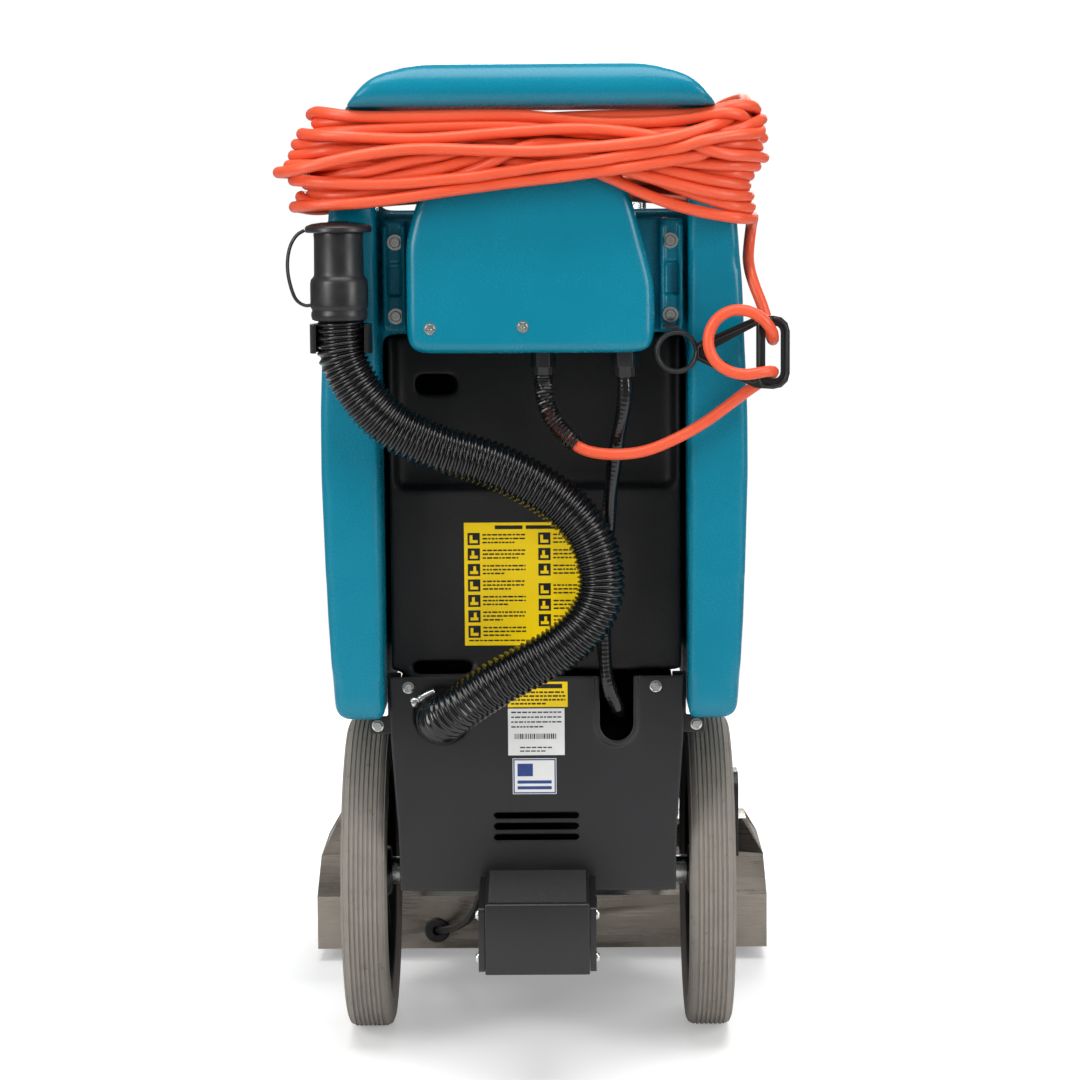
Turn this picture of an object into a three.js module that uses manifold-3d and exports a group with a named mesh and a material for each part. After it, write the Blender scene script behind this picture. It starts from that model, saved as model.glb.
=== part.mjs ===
// Walk-behind carpet cleaner (self-contained extractor), in millimetres, +Z up, +X to the right
// of a person standing behind it, +Y towards its front. Every section is drawn with the wheel
// axle at y = 0 and the floor at z = 0; the whole machine is then moved so that the origin is
// on the floor under the middle of its length.
import * as THREE from 'three';
import { mergeVertices } from 'three/addons/utils/BufferGeometryUtils.js';
import Module from 'manifold-3d';

const wasm = await Module();
wasm.setup();

// ---- Driving dimensions ---------------------------------------------------------------------
const AXLE_TO_MIDDLE = 120;     // the axle stands this far behind the middle of the machine
const GAP = 0.3;                // air between pieces that touch

const WHEEL_R = 152.4;          // 12 in wheel
const TYRE_W = 44.5;            // 1.75 in tread
const TRACK_HALF = 165.3;       // centre of a tyre from the middle plane
const AXLE_R = 9.5;

const TANK_TOP = 936;           // top of the handle bar
const TANK_DECK = 766;          // flat top of the solution tank
const TANK_BOTTOM = 335;        // lower edge of the wings
const WING_IN = 141;            // inner face of each wing
const ROOF = 692;               // underside of the solution tank over the recovery tank
const WEB_Y = -168;             // rear face of the tank between the wings
const WALL = 6;                 // moulded tank wall

const DRUM_HALF = 136;          // recovery tank half width
const DRUM_REAR = -140;
const DRUM_FRONT = 262;
const DRUM_BOTTOM = 373;
const POCKET_SILL = 547;        // the recovery tank steps forward above this height
const POCKET_DEPTH = 28;

const COVER_Y = -152;           // outer face of the rear cover
const SHEET = 1.5;              // steel sheet of chassis and cover
const COVER_TOP = 371;
const COVER_BOTTOM = 166;
const CHASSIS_HALF = 127;
const CHASSIS_FRONT = 205;

const HOOD_REAR = -232;         // operator's face of the console
const HOOD_FRONT = -186.3;
const HOOD_TOP = 846;
const HOOD_BOTTOM = 678;
const HOOD_WALL = 3;

const HEAD_HALF = 239.8;        // brush housing, 480 mm wide
const HEAD_REAR = 236;
const HEAD_PIVOT = { y: 185, z: 150 };
const BRUSH = { y: 322, z: 48, r: 47.4, core: 24, half: 192 };
const PULLEY = { r: 13, from: 196, to: 207 };
const BRUSH_MOTOR = { z: 168, r: 38, from: -30, to: 110 };
const SHOE = { rear: 442, front: 511, half: 203, top: 60 };
const SHOE_ARM = { low: 202, high: 224, start: 163 };

const PEDAL_PIVOT = { y: -70, z: 135 };
const PIVOT_R = 6;
const HOSE_R = 22;              // drain hose outside
const CORD_R = 4.75;            // mains cord outside
const LOOM_R = 7;
const OUTLET = { x: -88, z: 335 }; // drain spigot of the recovery tank
const CUFF = { x: -173, y: -238 };
const GLAND = { x: 9, y: -208 };
const LOOM_X = 83;
const RESTRAINT = { rear: -230, front: -224 };
const ROCKERS = { vacuum: -38, pump: -13, brush: 12 };
const ROCKER_Y = -209;
const BUTTON_X = 37;

// ---- Materials ------------------------------------------------------------------------------
const finish = (color, roughness, metalness = 0, opacity = 1) =>
  new THREE.MeshStandardMaterial({ color, roughness, metalness, opacity, transparent: opacity < 1 });
const FINISH = {
  teal: finish(0x03849e, 0.35),
  blackTank: finish(0x1b1b1c, 0.7),
  blackSteel: finish(0x343235, 0.45, 0.3),
  blackPlastic: finish(0x161617, 0.4),
  hose: finish(0x101011, 0.25),
  cord: finish(0xef5433, 0.45),
  tyre: finish(0x8b857e, 0.85),
  rim: finish(0x2a2a2c, 0.5),
  steel: finish(0x9a938b, 0.35, 1),
  zinc: finish(0xb9b9b6, 0.3, 1),
  clear: finish(0xdfe8ea, 0.1, 0, 0.35),
  bristle: finish(0x2f3236, 0.8),
  motor: finish(0x55585c, 0.5, 0.6),
  pump: finish(0x2b3f7a, 0.5),
};

// ---- Solids ---------------------------------------------------------------------------------
// Six times the volume that a closed triangle mesh encloses; negative when it is inside out.
function signedVolume(position, index) {
  const [a, b, c] = [new THREE.Vector3(), new THREE.Vector3(), new THREE.Vector3()];
  let sum = 0;
  for (let i = 0; i < index.length; i += 3) {
    a.fromBufferAttribute(position, index[i]);
    b.fromBufferAttribute(position, index[i + 1]);
    c.fromBufferAttribute(position, index[i + 2]);
    sum += a.dot(b.cross(c));
  }
  return sum;
}

// A closed three.js geometry as a solid that can be cut and joined.
function solid(geometry) {
  geometry.deleteAttribute('normal');
  geometry.deleteAttribute('uv');
  const merged = mergeVertices(geometry, 1e-3);
  const position = merged.getAttribute('position');
  const corners = [];
  for (let i = 0; i < merged.index.count; i += 3) {
    const [a, b, c] = [0, 1, 2].map((k) => merged.index.getX(i + k));
    if (a !== b && b !== c && c !== a) corners.push(a, b, c);
  }
  if (signedVolume(position, corners) < 0) corners.reverse();
  return new wasm.Manifold(new wasm.Mesh({
    numProp: 3,
    vertProperties: new Float32Array(position.array),
    triVerts: new Uint32Array(corners),
  }));
}

function geometryOf(body) {
  const mesh = body.getMesh();
  const geometry = new THREE.BufferGeometry();
  geometry.setAttribute('position', new THREE.Float32BufferAttribute(mesh.vertProperties, 3));
  geometry.setIndex([...mesh.triVerts]);
  geometry.computeVertexNormals();
  return geometry;
}

const join = (first, ...rest) => rest.reduce((whole, piece) => whole.add(piece), first);
const cut = (first, ...rest) => rest.reduce((whole, piece) => whole.subtract(piece), first);

// Sections are drawn in (y, z) for x, in (x, z) for y and in (x, y) for z.
const BASIS = {
  x: [[0, 1, 0], [0, 0, 1], [1, 0, 0]],
  y: [[1, 0, 0], [0, 0, 1], [0, -1, 0]],
  z: [[1, 0, 0], [0, 1, 0], [0, 0, 1]],
};

function basisOf(along) {
  return new THREE.Matrix4().makeBasis(...BASIS[along].map((axis) => new THREE.Vector3(...axis)));
}

// Draws a section out along an axis, from one coordinate to a larger one.
function extrude(shape, along, from, to) {
  const geometry = new THREE.ExtrudeGeometry(shape, { depth: to - from, bevelEnabled: false });
  geometry.applyMatrix4(basisOf(along));
  const start = along === 'y' ? to : from;
  const shift = new THREE.Vector3();
  shift[along] = start;
  geometry.translate(shift.x, shift.y, shift.z);
  return solid(geometry);
}

// A closed outline; a corner is [u, v] or [u, v, radius].
function outlinePoints(corners, steps = 4) {
  const points = [];
  corners.forEach(([u, v, r = 0], i) => {
    const corner = new THREE.Vector2(u, v);
    if (r === 0) {
      points.push(corner);
      return;
    }
    const before = corners[(i + corners.length - 1) % corners.length];
    const after = corners[(i + 1) % corners.length];
    const a = new THREE.Vector2(before[0] - u, before[1] - v).normalize();
    const b = new THREE.Vector2(after[0] - u, after[1] - v).normalize();
    const half = Math.acos(THREE.MathUtils.clamp(a.dot(b), -1, 1)) / 2;
    const centre = a.clone().add(b).normalize().multiplyScalar(r / Math.sin(half)).add(corner);
    const reach = r / Math.tan(half);
    const first = a.multiplyScalar(reach).add(corner).sub(centre).angle();
    const last = b.multiplyScalar(reach).add(corner).sub(centre).angle();
    const turn = Math.atan2(Math.sin(last - first), Math.cos(last - first));
    for (let k = 0; k <= steps; k += 1) {
      const angle = first + (turn * k) / steps;
      points.push(new THREE.Vector2(r * Math.cos(angle), r * Math.sin(angle)).add(centre));
    }
  });
  return points;
}
const outline = (corners, steps) => new THREE.Shape(outlinePoints(corners, steps));

function circlePoints(r, u, v, sides) {
  return Array.from({ length: sides }, (_, k) => {
    const angle = (2 * Math.PI * k) / sides;
    return new THREE.Vector2(u + r * Math.cos(angle), v + r * Math.sin(angle));
  });
}

// A round bar along an axis, centred on (u, v) of its section plane.
function rod(along, r, from, to, u, v, sides = 16) {
  return extrude(new THREE.Shape(circlePoints(r, u, v, sides)), along, from, to);
}

function box(x0, x1, y0, y1, z0, z1) {
  const geometry = new THREE.BoxGeometry(x1 - x0, y1 - y0, z1 - z0);
  geometry.translate((x0 + x1) / 2, (y0 + y1) / 2, (z0 + z1) / 2);
  return solid(geometry);
}

// A box with rounded vertical corners.
function roundedBox(x0, x1, y0, y1, z0, z1, r, steps = 3) {
  return extrude(outline([[x0, y0, r], [x1, y0, r], [x1, y1, r], [x0, y1, r]], steps), 'z', z0, z1);
}

// A slot with round ends, cut along y.
function slotAlongY(x0, x1, z, height, y0, y1) {
  const r = height / 2 - 0.01;
  const [low, high] = [z - height / 2, z + height / 2];
  return extrude(outline([[x0, low, r], [x1, low, r], [x1, high, r], [x0, high, r]], 2), 'y', y0, y1);
}

// A turned piece: [radius, place along the axis] points, closed or starting and ending on the axis.
function turned(along, points, sides, centre = [0, 0, 0]) {
  const onAxis = points[0][0] === 0;
  const profile = onAxis ? points : [...points, points[0]];
  const geometry = new THREE.LatheGeometry(profile.map(([r, h]) => new THREE.Vector2(r, h)), sides);
  const turns = { x: [[0, 1, 0], [1, 0, 0], [0, 0, -1]], y: [[1, 0, 0], [0, 1, 0], [0, 0, 1]],
    z: [[1, 0, 0], [0, 0, 1], [0, -1, 0]] };
  const axes = turns[along].map((axis) => new THREE.Vector3(...axis));
  geometry.applyMatrix4(new THREE.Matrix4().makeBasis(...axes));
  geometry.translate(...centre);
  return solid(geometry);
}

// A solid swept along a smooth line through hand-placed points.
function swept(points, shape, steps) {
  const path = new THREE.CatmullRomCurve3(points.map((point) => new THREE.Vector3(...point)));
  return solid(new THREE.ExtrudeGeometry(shape, { steps, bevelEnabled: false, extrudePath: path }));
}
const hoseAlong = (points, r, steps, sides = 8) =>
  swept(points, new THREE.Shape(circlePoints(r, 0, 0, sides)), steps);

// ---- The machine ----------------------------------------------------------------------------
const machine = new THREE.Group();
machine.position.y = -AXLE_TO_MIDDLE;

function add(name, material, body) {
  const mesh = new THREE.Mesh(geometryOf(body), material.clone());
  mesh.name = name;
  machine.add(mesh);
}

// Solid ribbed tyre, pressed rim and thin hub cap; side is -1 left, +1 right.
function wheel(side, label) {
  const sides = 32;
  const at = [side * TRACK_HALF, 0, WHEEL_R];
  const half = TYRE_W / 2;
  const tread = [[118, -19], [140, -half], [149, -20], [WHEEL_R, -13], [WHEEL_R, 13], [149, 20],
    [140, half], [118, 19]];
  add(`tyre_${label}`, FINISH.tyre, turned('x', tread, sides, at));
  const bore = AXLE_R + 0.1;
  const disc = [[bore, -19], [24, -19], [24, -6], [110, -6], [117.6, -17], [117.6, 17], [110, 6], [24, 6],
    [24, 19], [bore, 19]];
  add(`rim_${label}`, FINISH.rim, turned('x', disc, sides, at));
  const cap = [[0, 19.3], [24, 19.3], [24, 20.4], [17, 21.8], [0, 22]].map(([r, h]) => [r, side * h]);
  add(`hub_cap_${label}`, FINISH.zinc, turned('x', cap, 16, at));
}

// Turned axle with a shoulder inside each wheel.
function axle() {
  const end = TRACK_HALF + 18;
  const shoulder = [CHASSIS_HALF + GAP, TRACK_HALF - 19 - GAP];
  const half = [[14, shoulder[0]], [14, shoulder[1]], [AXLE_R, shoulder[1]], [AXLE_R, end], [0, end]];
  const mirrored = half.map(([r, x]) => [r, -x]).reverse();
  const profile = [...mirrored, [AXLE_R, -shoulder[0]], [AXLE_R, shoulder[0]], ...half];
  add('axle', FINISH.zinc, turned('x', profile, 16, [0, 0, WHEEL_R]));
}

// Folded steel tray that carries the motor and pump, open behind and on top.
function chassis() {
  const outside = outline([[-150, COVER_BOTTOM + SHEET + GAP], [0, 131], [CHASSIS_FRONT, 112],
    [CHASSIS_FRONT, COVER_TOP], [-150, COVER_TOP - 2]]);
  const inside = outline([[-160, 172], [0, 133], [CHASSIS_FRONT - SHEET, 114], [CHASSIS_FRONT - SHEET, 380],
    [-160, 380]]);
  const shell = cut(extrude(outside, 'x', -CHASSIS_HALF, CHASSIS_HALF),
    extrude(inside, 'x', -CHASSIS_HALF + SHEET, CHASSIS_HALF - SHEET));
  const lugs = [[-44, -40], [40, 44]].map(([from, to]) =>
    box(from, to, PEDAL_PIVOT.y - 11, PEDAL_PIVOT.y + 11, PEDAL_PIVOT.z - 11, 150));
  const holes = [rod('x', AXLE_R + GAP, -200, 200, 0, WHEEL_R),
    rod('x', PIVOT_R + GAP, -200, 200, HEAD_PIVOT.y, HEAD_PIVOT.z),
    rod('x', PIVOT_R + GAP, -60, 60, PEDAL_PIVOT.y, PEDAL_PIVOT.z)];
  add('chassis', FINISH.blackSteel, cut(join(shell, ...lugs), ...holes));
}

// The rear cover: a plate with folded sides, a hose hole, a cable slot and three cooling slots.
function rearCover() {
  const edge = (inset, over) => {
    const right = [[130 - inset, COVER_BOTTOM - over], [131 - inset, 221], [137 - inset, 311],
      [138.5 - inset, COVER_TOP + over]];
    return outline([...right, ...right.map(([x, z]) => [-x, z]).reverse()]);
  };
  const pan = cut(extrude(edge(0, 0), 'y', COVER_Y, -138),
    extrude(edge(SHEET, 9), 'y', COVER_Y + SHEET, -130));
  const slot = { x: 74.7, z: 325, r: 15.4 };
  const cableShape = (r, top) => outline([[slot.x - r, top], [slot.x - r, slot.z - r, r - 0.01],
    [slot.x + r, slot.z - r, r - 0.01], [slot.x + r, top]], 5);
  const rim = extrude(cableShape(slot.r + 4.5, COVER_TOP), 'y', COVER_Y - 2, COVER_Y + 0.5);
  const screwHoles = [-120, 111.5].map((x) => rod('y', 3.4, -170, -140, x, 361, 12));
  const vents = [238.5, 228, 217.4].map((z) => slotAlongY(-41, 39, z, 5, -170, -140));
  const hoseHole = rod('y', 27, -170, -140, OUTLET.x, OUTLET.z, 24);
  const cableSlot = extrude(cableShape(slot.r, 400), 'y', -170, -130);
  add('rear_cover', FINISH.blackSteel, cut(join(pan, rim), cableSlot, hoseHole, ...screwHoles, ...vents));
}

// ---- Solution tank with handle --------------------------------------------------------------
// Half of the tank as seen from behind, from the lower outer corner up to the handle.
function tankOutline(inset, top) {
  const right = [[186 - inset, TANK_BOTTOM + inset, 12], [192 - inset, 430], [196 - inset, 560],
    [195.5 - inset, 620], [190.5 - inset, 737], [185 - inset, 800], [178 - inset, 884, 25]];
  const upper = top ? [[143, 925, 45], [100, TANK_TOP, 60]] : [[170 - inset, 900]];
  const half = [...right, ...upper];
  return outline([...half, ...half.map(([x, z, r]) => [-x, z, r]).reverse()], 4);
}

function solutionTank() {
  const side = outline([[-190, TANK_BOTTOM, 12], [-196, 600], [-203, 760], [-207, 806], [-224, 822, 8],
    [-224, 888, 6], [-233, 897], [-258, 898, 8], [-266.4, 914, 12], [-254, TANK_TOP, 14],
    [-196, TANK_TOP, 26], [-168, 905, 12], [-163, 860], [-146, 800, 12], [-132, TANK_DECK, 12],
    [272, TANK_DECK, 40], [345, 690, 50], [360, 500, 30], [350, TANK_BOTTOM, 12]], 4);
  const skin = extrude(side, 'x', -205, 205).intersect(extrude(tankOutline(0, true), 'y', -300, 400));
  const tunnel = box(-WING_IN, WING_IN, -300, 266, 300, ROOF);
  const recess = box(-WING_IN, WING_IN, -300, WEB_Y, 600, 808);
  const opening = extrude(outline([[-WING_IN, 780], [WING_IN, 780], [WING_IN, 895, 22],
    [-WING_IN, 895, 22]]), 'y', -300, -100);
  const handHole = opening.intersect(box(-200, 200, -300, -100, 806, 900));
  const neckHole = roundedBox(-101, 101, 139, 256, 600, 800, 14);
  const hollowSide = outline([[-184, TANK_BOTTOM + WALL], [-190, 600], [-197, 790], [-157, 790],
    [-140, TANK_DECK - WALL], [268, TANK_DECK - WALL, 34], [338, 690, 44], [353, 500],
    [344, TANK_BOTTOM + WALL]], 3);
  const core = extrude(hollowSide, 'x', -200, 200)
    .intersect(extrude(tankOutline(WALL, false), 'y', -300, 400));
  const hollow = cut(core, box(-WING_IN - WALL, WING_IN + WALL, -300, 266 + WALL, 300, ROOF + WALL),
    box(-WING_IN - WALL, WING_IN + WALL, -300, WEB_Y + WALL, 600, 900),
    roundedBox(-101 - WALL, 101 + WALL, 139 - WALL, 256 + WALL, 600, 800, 18));
  const fill = roundedBox(-80, 80, -40, 85, TANK_DECK - 20, TANK_DECK + 20, 16);
  add('solution_tank', FINISH.teal, cut(skin, tunnel, recess, handHole, neckHole, hollow, fill));
}

// Flat lid over the filling hole, hinged on a pin along its rear edge.
function solutionLid() {
  const pin = { y: -60, z: 774 };
  const plate = roundedBox(-96, 96, -53, 104, TANK_DECK + 0.4, 779, 18);
  const plug = roundedBox(-77, 77, -37, 82, 757, TANK_DECK + 1, 14);
  const hollow = roundedBox(-72, 72, -32, 77, 750, 774, 12);
  const tab = roundedBox(-28, 28, 100, 112, 769, 775, 5);
  const knuckles = [[-72, -30], [30, 72]].map(([from, to]) =>
    join(rod('x', 5.5, from, to, pin.y, pin.z, 12), box(from, to, pin.y, -50, 769, 777)));
  const bore = rod('x', 2.75, -90, 90, pin.y, pin.z, 12);
  add('solution_lid', FINISH.teal, cut(join(plate, plug, tab, ...knuckles), hollow, bore));
  const bracket = join(roundedBox(-78, 78, -84, -67, TANK_DECK + GAP, 768.3, 4),
    box(-29, 29, -70, pin.y - 3, TANK_DECK + GAP, 774), rod('x', 5.5, -29, 29, pin.y, pin.z, 12));
  add('lid_hinge_bracket', FINISH.blackPlastic, cut(bracket, bore));
  add('lid_hinge_pin', FINISH.zinc, rod('x', 2.6, -74, 74, pin.y, pin.z, 12));
}

// ---- Recovery tank --------------------------------------------------------------------------
function recoveryTank() {
  const wall = 5;
  const block = box(-DRUM_HALF, DRUM_HALF, DRUM_REAR, DRUM_FRONT, DRUM_BOTTOM, ROOF - 4);
  const neck = roundedBox(-99.5, 99.5, 140.5, 254.5, ROOF - 10, TANK_DECK + 6, 12);
  const sump = box(-122, -54, DRUM_REAR - 5, -60, 300, DRUM_BOTTOM + 2);
  const front = DRUM_REAR + POCKET_DEPTH;
  const pocket = box(-130, 130, DRUM_REAR - 20, front, POCKET_SILL, ROOF);
  const half = DRUM_HALF - wall;
  const floor = DRUM_BOTTOM + wall;
  const inside = join(
    box(-half, half, front + wall, DRUM_FRONT - wall, floor, ROOF - 9),
    box(-half, half, DRUM_REAR + wall, 0, floor, POCKET_SILL - wall),
    roundedBox(-94.5, 94.5, 145.5, 249.5, 600, 800, 9),
    box(-117, -59, DRUM_REAR, -65, 305, DRUM_BOTTOM + 10));
  const grip = box(-111, -75, front - 10, front + 10, 634, 650);
  const outlet = rod('y', 15, -160, -130, OUTLET.x, OUTLET.z, 12);
  add('recovery_tank', FINISH.blackTank, cut(join(block, neck, sump), pocket, inside, grip, outlet));
}

// Vacuum standpipe inside the recovery tank, with the ball that floats up and shuts it.
function floatValve() {
  const at = [45, 90, 0];
  const cup = [[20, 378.3], [20, 655], [17, 655], [17, 600], [10, 592], [10, 378.3]];
  add('standpipe', FINISH.blackPlastic, turned('z', cup, 20, at));
  const ball = { r: 15.5, z: 613.5, rings: 6 };
  const arc = Array.from({ length: ball.rings + 1 }, (_, k) => {
    const angle = -Math.PI / 2 + (Math.PI * k) / ball.rings;
    return [k % ball.rings ? ball.r * Math.cos(angle) : 0, ball.z + ball.r * Math.sin(angle)];
  });
  add('float_ball', FINISH.clear, turned('z', arc, 12, at));
}

// Clear dome over the recovery tank's mouth, on a foam gasket.
function recoveryDome() {
  const gasket = cut(roundedBox(-110, 110, 132, 264, TANK_DECK + GAP, 771, 18),
    roundedBox(-100.5, 100.5, 139.5, 255.5, 760, 780, 13));
  add('dome_gasket', FINISH.blackPlastic, gasket);
  const shell = cut(roundedBox(-112, 112, 130, 266, 771 + GAP, 822, 26, 5),
    roundedBox(-106, 106, 136, 260, 760, 818, 20, 5));
  add('recovery_dome', FINISH.clear, shell);
}

// ---- Console --------------------------------------------------------------------------------
function consoleBracket() {
  const plate = extrude(outline([[-137, 694, 14], [137, 694, 14], [137, 798, 14], [-137, 798, 14]]), 'y',
    -186, WEB_Y - GAP);
  const holes = [-125, 125].flatMap((x) => [777, 710].map((z) => rod('y', 4, -200, WEB_Y + 5, x, z, 8)));
  add('console_bracket', FINISH.teal, cut(plate, ...holes));
}

// What the rockers and the spray button need cut through the hood's top and the switch plate.
function switchHoles() {
  const [low, high] = [HOOD_TOP - 10, HOOD_TOP + 10];
  const windows = Object.values(ROCKERS).map((x) =>
    box(x - 10, x + 10, ROCKER_Y - 15, ROCKER_Y + 15, low, high));
  return [...windows, rod('z', 8.2, low, high, BUTTON_X, ROCKER_Y, 12)];
}

// The hood over the switches and terminals, open towards the bracket.
function consoleCover() {
  const edge = (inset) => outline([[-113 + inset, HOOD_BOTTOM + inset, 12 - inset],
    [109 - inset, HOOD_BOTTOM + inset, 12 - inset], [109 - inset, 738, 70],
    [80 - inset, HOOD_TOP - inset, 22], [-66, HOOD_TOP - inset, 24], [-94 + inset, 832 - inset, 30],
    [-113 + inset, 792, 50]], 5);
  const shell = cut(extrude(edge(0), 'y', HOOD_REAR, HOOD_FRONT),
    extrude(edge(HOOD_WALL), 'y', HOOD_REAR + HOOD_WALL, HOOD_FRONT - HOOD_WALL),
    box(-104, 100, HOOD_FRONT - 10, HOOD_FRONT + 10, HOOD_BOTTOM + 8, 794));
  const sill = [HOOD_BOTTOM - 10, HOOD_BOTTOM + 10];
  const cordHoles = [[8.3, GLAND.x], [9.3, LOOM_X]].map(([r, x]) => rod('z', r, ...sill, x, GLAND.y, 12));
  add('console_cover', FINISH.teal, cut(shell, ...cordHoles, ...switchHoles()));
}

function switches() {
  const top = HOOD_TOP + GAP;
  const plate = roundedBox(-54, 52, ROCKER_Y - 18, ROCKER_Y + 18, top, top + 2, 5);
  add('switch_plate', FINISH.blackPlastic, cut(plate, ...switchHoles()));
  const tilt = THREE.MathUtils.degToRad(8);
  const [cos, sin] = [Math.cos(tilt), Math.sin(tilt)];
  const profile = [[-12.5, 5], [0, 3], [12.5, 5], [11, -3], [0, -6], [-11, -3]].map(([y, z]) =>
    [ROCKER_Y + y * cos - z * sin, top + 1 + y * sin + z * cos]);
  Object.entries(ROCKERS).forEach(([label, x]) => {
    add(`rocker_${label}`, FINISH.blackPlastic, extrude(outline(profile), 'x', x - 9, x + 9));
  });
  add('spray_button', FINISH.cord, join(rod('z', 7.7, top - 6, top + 7, BUTTON_X, ROCKER_Y, 12),
    rod('z', 10, top - 9, top - 5, BUTTON_X, ROCKER_Y, 12)));
  add('terminal_block', FINISH.blackPlastic, join(box(-70, 10, -204, -186.3, 724, 764),
    box(-64, 4, -212, -203, 732, 756)));
}

// Glands, braided loom, spring strain relief.
function glands() {
  const nut = HOOD_BOTTOM - GAP;
  const gland = (x, hex, tail, end, shank) => join(rod('z', hex, 664, nut, x, GLAND.y, 6),
    rod('z', tail, end, 665, x, GLAND.y, 12), rod('z', shank, nut - 1, HOOD_BOTTOM + 12, x, GLAND.y, 12));
  add('cord_gland', FINISH.blackPlastic, gland(GLAND.x, 11.5, 9.5, 657, 8));
  add('loom_gland', FINISH.blackPlastic, gland(LOOM_X, 13.5, 10.5, 655, 9));
  add('strain_relief', FINISH.blackPlastic, hoseAlong([[9, -208, 656.5], [9, -208, 648], [10, -211, 636],
    [14.5, -215, 622], [22, -217, 610], [31.7, -218, 600]], 7.5, 8));
  add('wire_loom', FINISH.hose, hoseAlong([[83, -208, 654.5], [83, -208, 640], [80.5, -204, 620],
    [75.5, -197, 592], [69, -186, 539], [65.5, -174, 480], [63.2, -163, 425], [64, -160, 387],
    [69, -158, 358], [75, -148, 340], [77, -128, 330]], LOOM_R, 22));
}

// ---- Drain hose -----------------------------------------------------------------------------
function drain() {
  const { x, z } = OUTLET;
  const spigot = cut(rod('y', 19, -168, DRUM_REAR - 5 - GAP, x, z), rod('y', 15, -200, -100, x, z));
  add('drain_spigot', FINISH.blackPlastic, spigot);
  const route = [[x, -168.5, z], [x, -178, z], [-84, -191, 339], [-69, -203, 351], [-41, -211, 371],
    [-8, -216, 390], [24, -220, 409], [47, -222, 431], [59, -222, 456], [59, -220, 483], [47.5, -218, 515],
    [25, -217, 540], [-7, -219, 561.5], [-43, -223, 578.5], [-88, -228, 593], [-128, -233, 614],
    [-154, -237, 642], [-170, -238, 673.5], [-172.6, -238, 690], [-173, -238, 701], [-173, -238, 711.5]];
  add('drain_hose', FINISH.hose, hoseAlong(route, HOSE_R, 34, 10));
  const clampY = -174;
  const band = turned('y', [[24.4, -4], [25.6, -4], [25.6, 4], [24.4, 4]], 20, [x, clampY, z]);
  const screwHousing = box(x - 9, x + 9, clampY - 5, clampY + 5, z + 25, z + 33);
  add('hose_clamp', FINISH.zinc, join(band, screwHousing));
  const at = [CUFF.x, CUFF.y, 0];
  const sleeve = [[0, 712], [26, 712], [26, 748], [22, 750], [22, 787], [17, 787], [17, 762], [0, 762]];
  add('hose_cuff', FINISH.hose, turned('z', sleeve, 20, at));
  const plug = [[0, 766], [16.6, 766], [16.6, 787.3], [30, 787.3], [30, 793], [26, 796], [0, 797]];
  add('hose_cap', FINISH.hose, turned('z', plug, 20, at));
  const strapSection = outline([[-1.3, -3.5], [1.3, -3.5], [1.3, 3.5], [-1.3, 3.5]]);
  add('cap_strap', FINISH.hose, swept([[-200.7, -238, 722], [-210, -238, 725], [-217.5, -238, 741],
    [-219.5, -238, 760], [-217, -238, 776], [-211, -238, 786], [-204.8, -238, 790]], strapSection, 14));
  const clip = { x: -172, y: -238, low: 680, high: 706 };
  const ring = cut(rod('z', 28, clip.low, clip.high, clip.x, clip.y, 24),
    rod('z', 24.8, 600, 800, clip.x, clip.y, 24), box(-200, -145, -300, clip.y - 12, 600, 800));
  const foot = box(-184, -161, clip.y + 26, -202.2, clip.low, clip.high);
  add('hose_clip', FINISH.blackPlastic, join(ring, foot));
}

// ---- Mains cord -----------------------------------------------------------------------------
// Cast ring and frame that the cord is laced through, on a strap under the lower right bolt.
function cordRestraint() {
  const { rear, front } = RESTRAINT;
  const plate = outline([[146, 671], [146, 685], [200, 709, 8], [231, 711, 14], [231, 643, 14],
    [200, 645, 8]], 3);
  const eye = outline([[201, 701], [201, 653], [157, 678]]);
  const slot = outline([[209, 701, 4], [223, 701, 6], [223, 653, 6], [209, 653, 4]], 3);
  const through = ['y', rear - 5, front + 5];
  const frame = cut(extrude(plate, 'y', rear, front), extrude(eye, ...through), extrude(slot, ...through));
  const hook = { x: 129.4, z: 678 };
  const ring = cut(rod('y', 20, rear, front, hook.x, hook.z, 24), rod(through[0], 15.5, ...through.slice(1),
    hook.x, hook.z, 24));
  add('cord_restraint', FINISH.blackPlastic, join(frame, ring));
  const tongue = cut(box(117, 133, -189.3, -186.3, 698.4, 719), rod('y', 4, -200, -180, 125, 710, 8));
  add('restraint_strap', FINISH.blackPlastic, join(tongue, box(118, 132, -228, -188, 698.4, 700.8)));
}

// The cord from its strain relief, laced through the restraint, up to the wound bundle.
const LEAD = [[32.5, -218.1, 599.2], [38.5, -218.7, 593.2], [47, -219, 588.8], [59, -219, 586],
  [80, -219, 585], [102, -218, 588], [126, -216, 598], [150, -214, 610], [172, -212, 624.5], [193, -211, 640],
  [208, -213, 650.5], [215.5, -220, 658], [216, -229, 662], [208, -237.5, 660], [193, -238.5, 656.5],
  [176, -238, 660.5], [162, -238, 670], [157, -238, 683], [159, -238, 698], [168, -238, 710],
  [182, -238, 715.5], [197, -238, 712], [209.5, -237.5, 702], [216, -229.5, 693], [216.5, -219, 691],
  [213.5, -212, 701], [208, -208, 716], [202, -201, 733], [197.5, -187, 749], [195, -170, 763],
  [194.6, -154, 777], [196, -144, 788], [196.5, -141, 796], [196.5, -140.5, 802.3]];
// The far end leaves the bundle in front of the handle and reaches the plug on the deck.
const TAIL = [[-75, -99.9, 816], [-30, -98, 809], [20, -93, 800], [66, -87, 792], [100, -84, 788],
  [115.7, -84, 787]];

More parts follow.
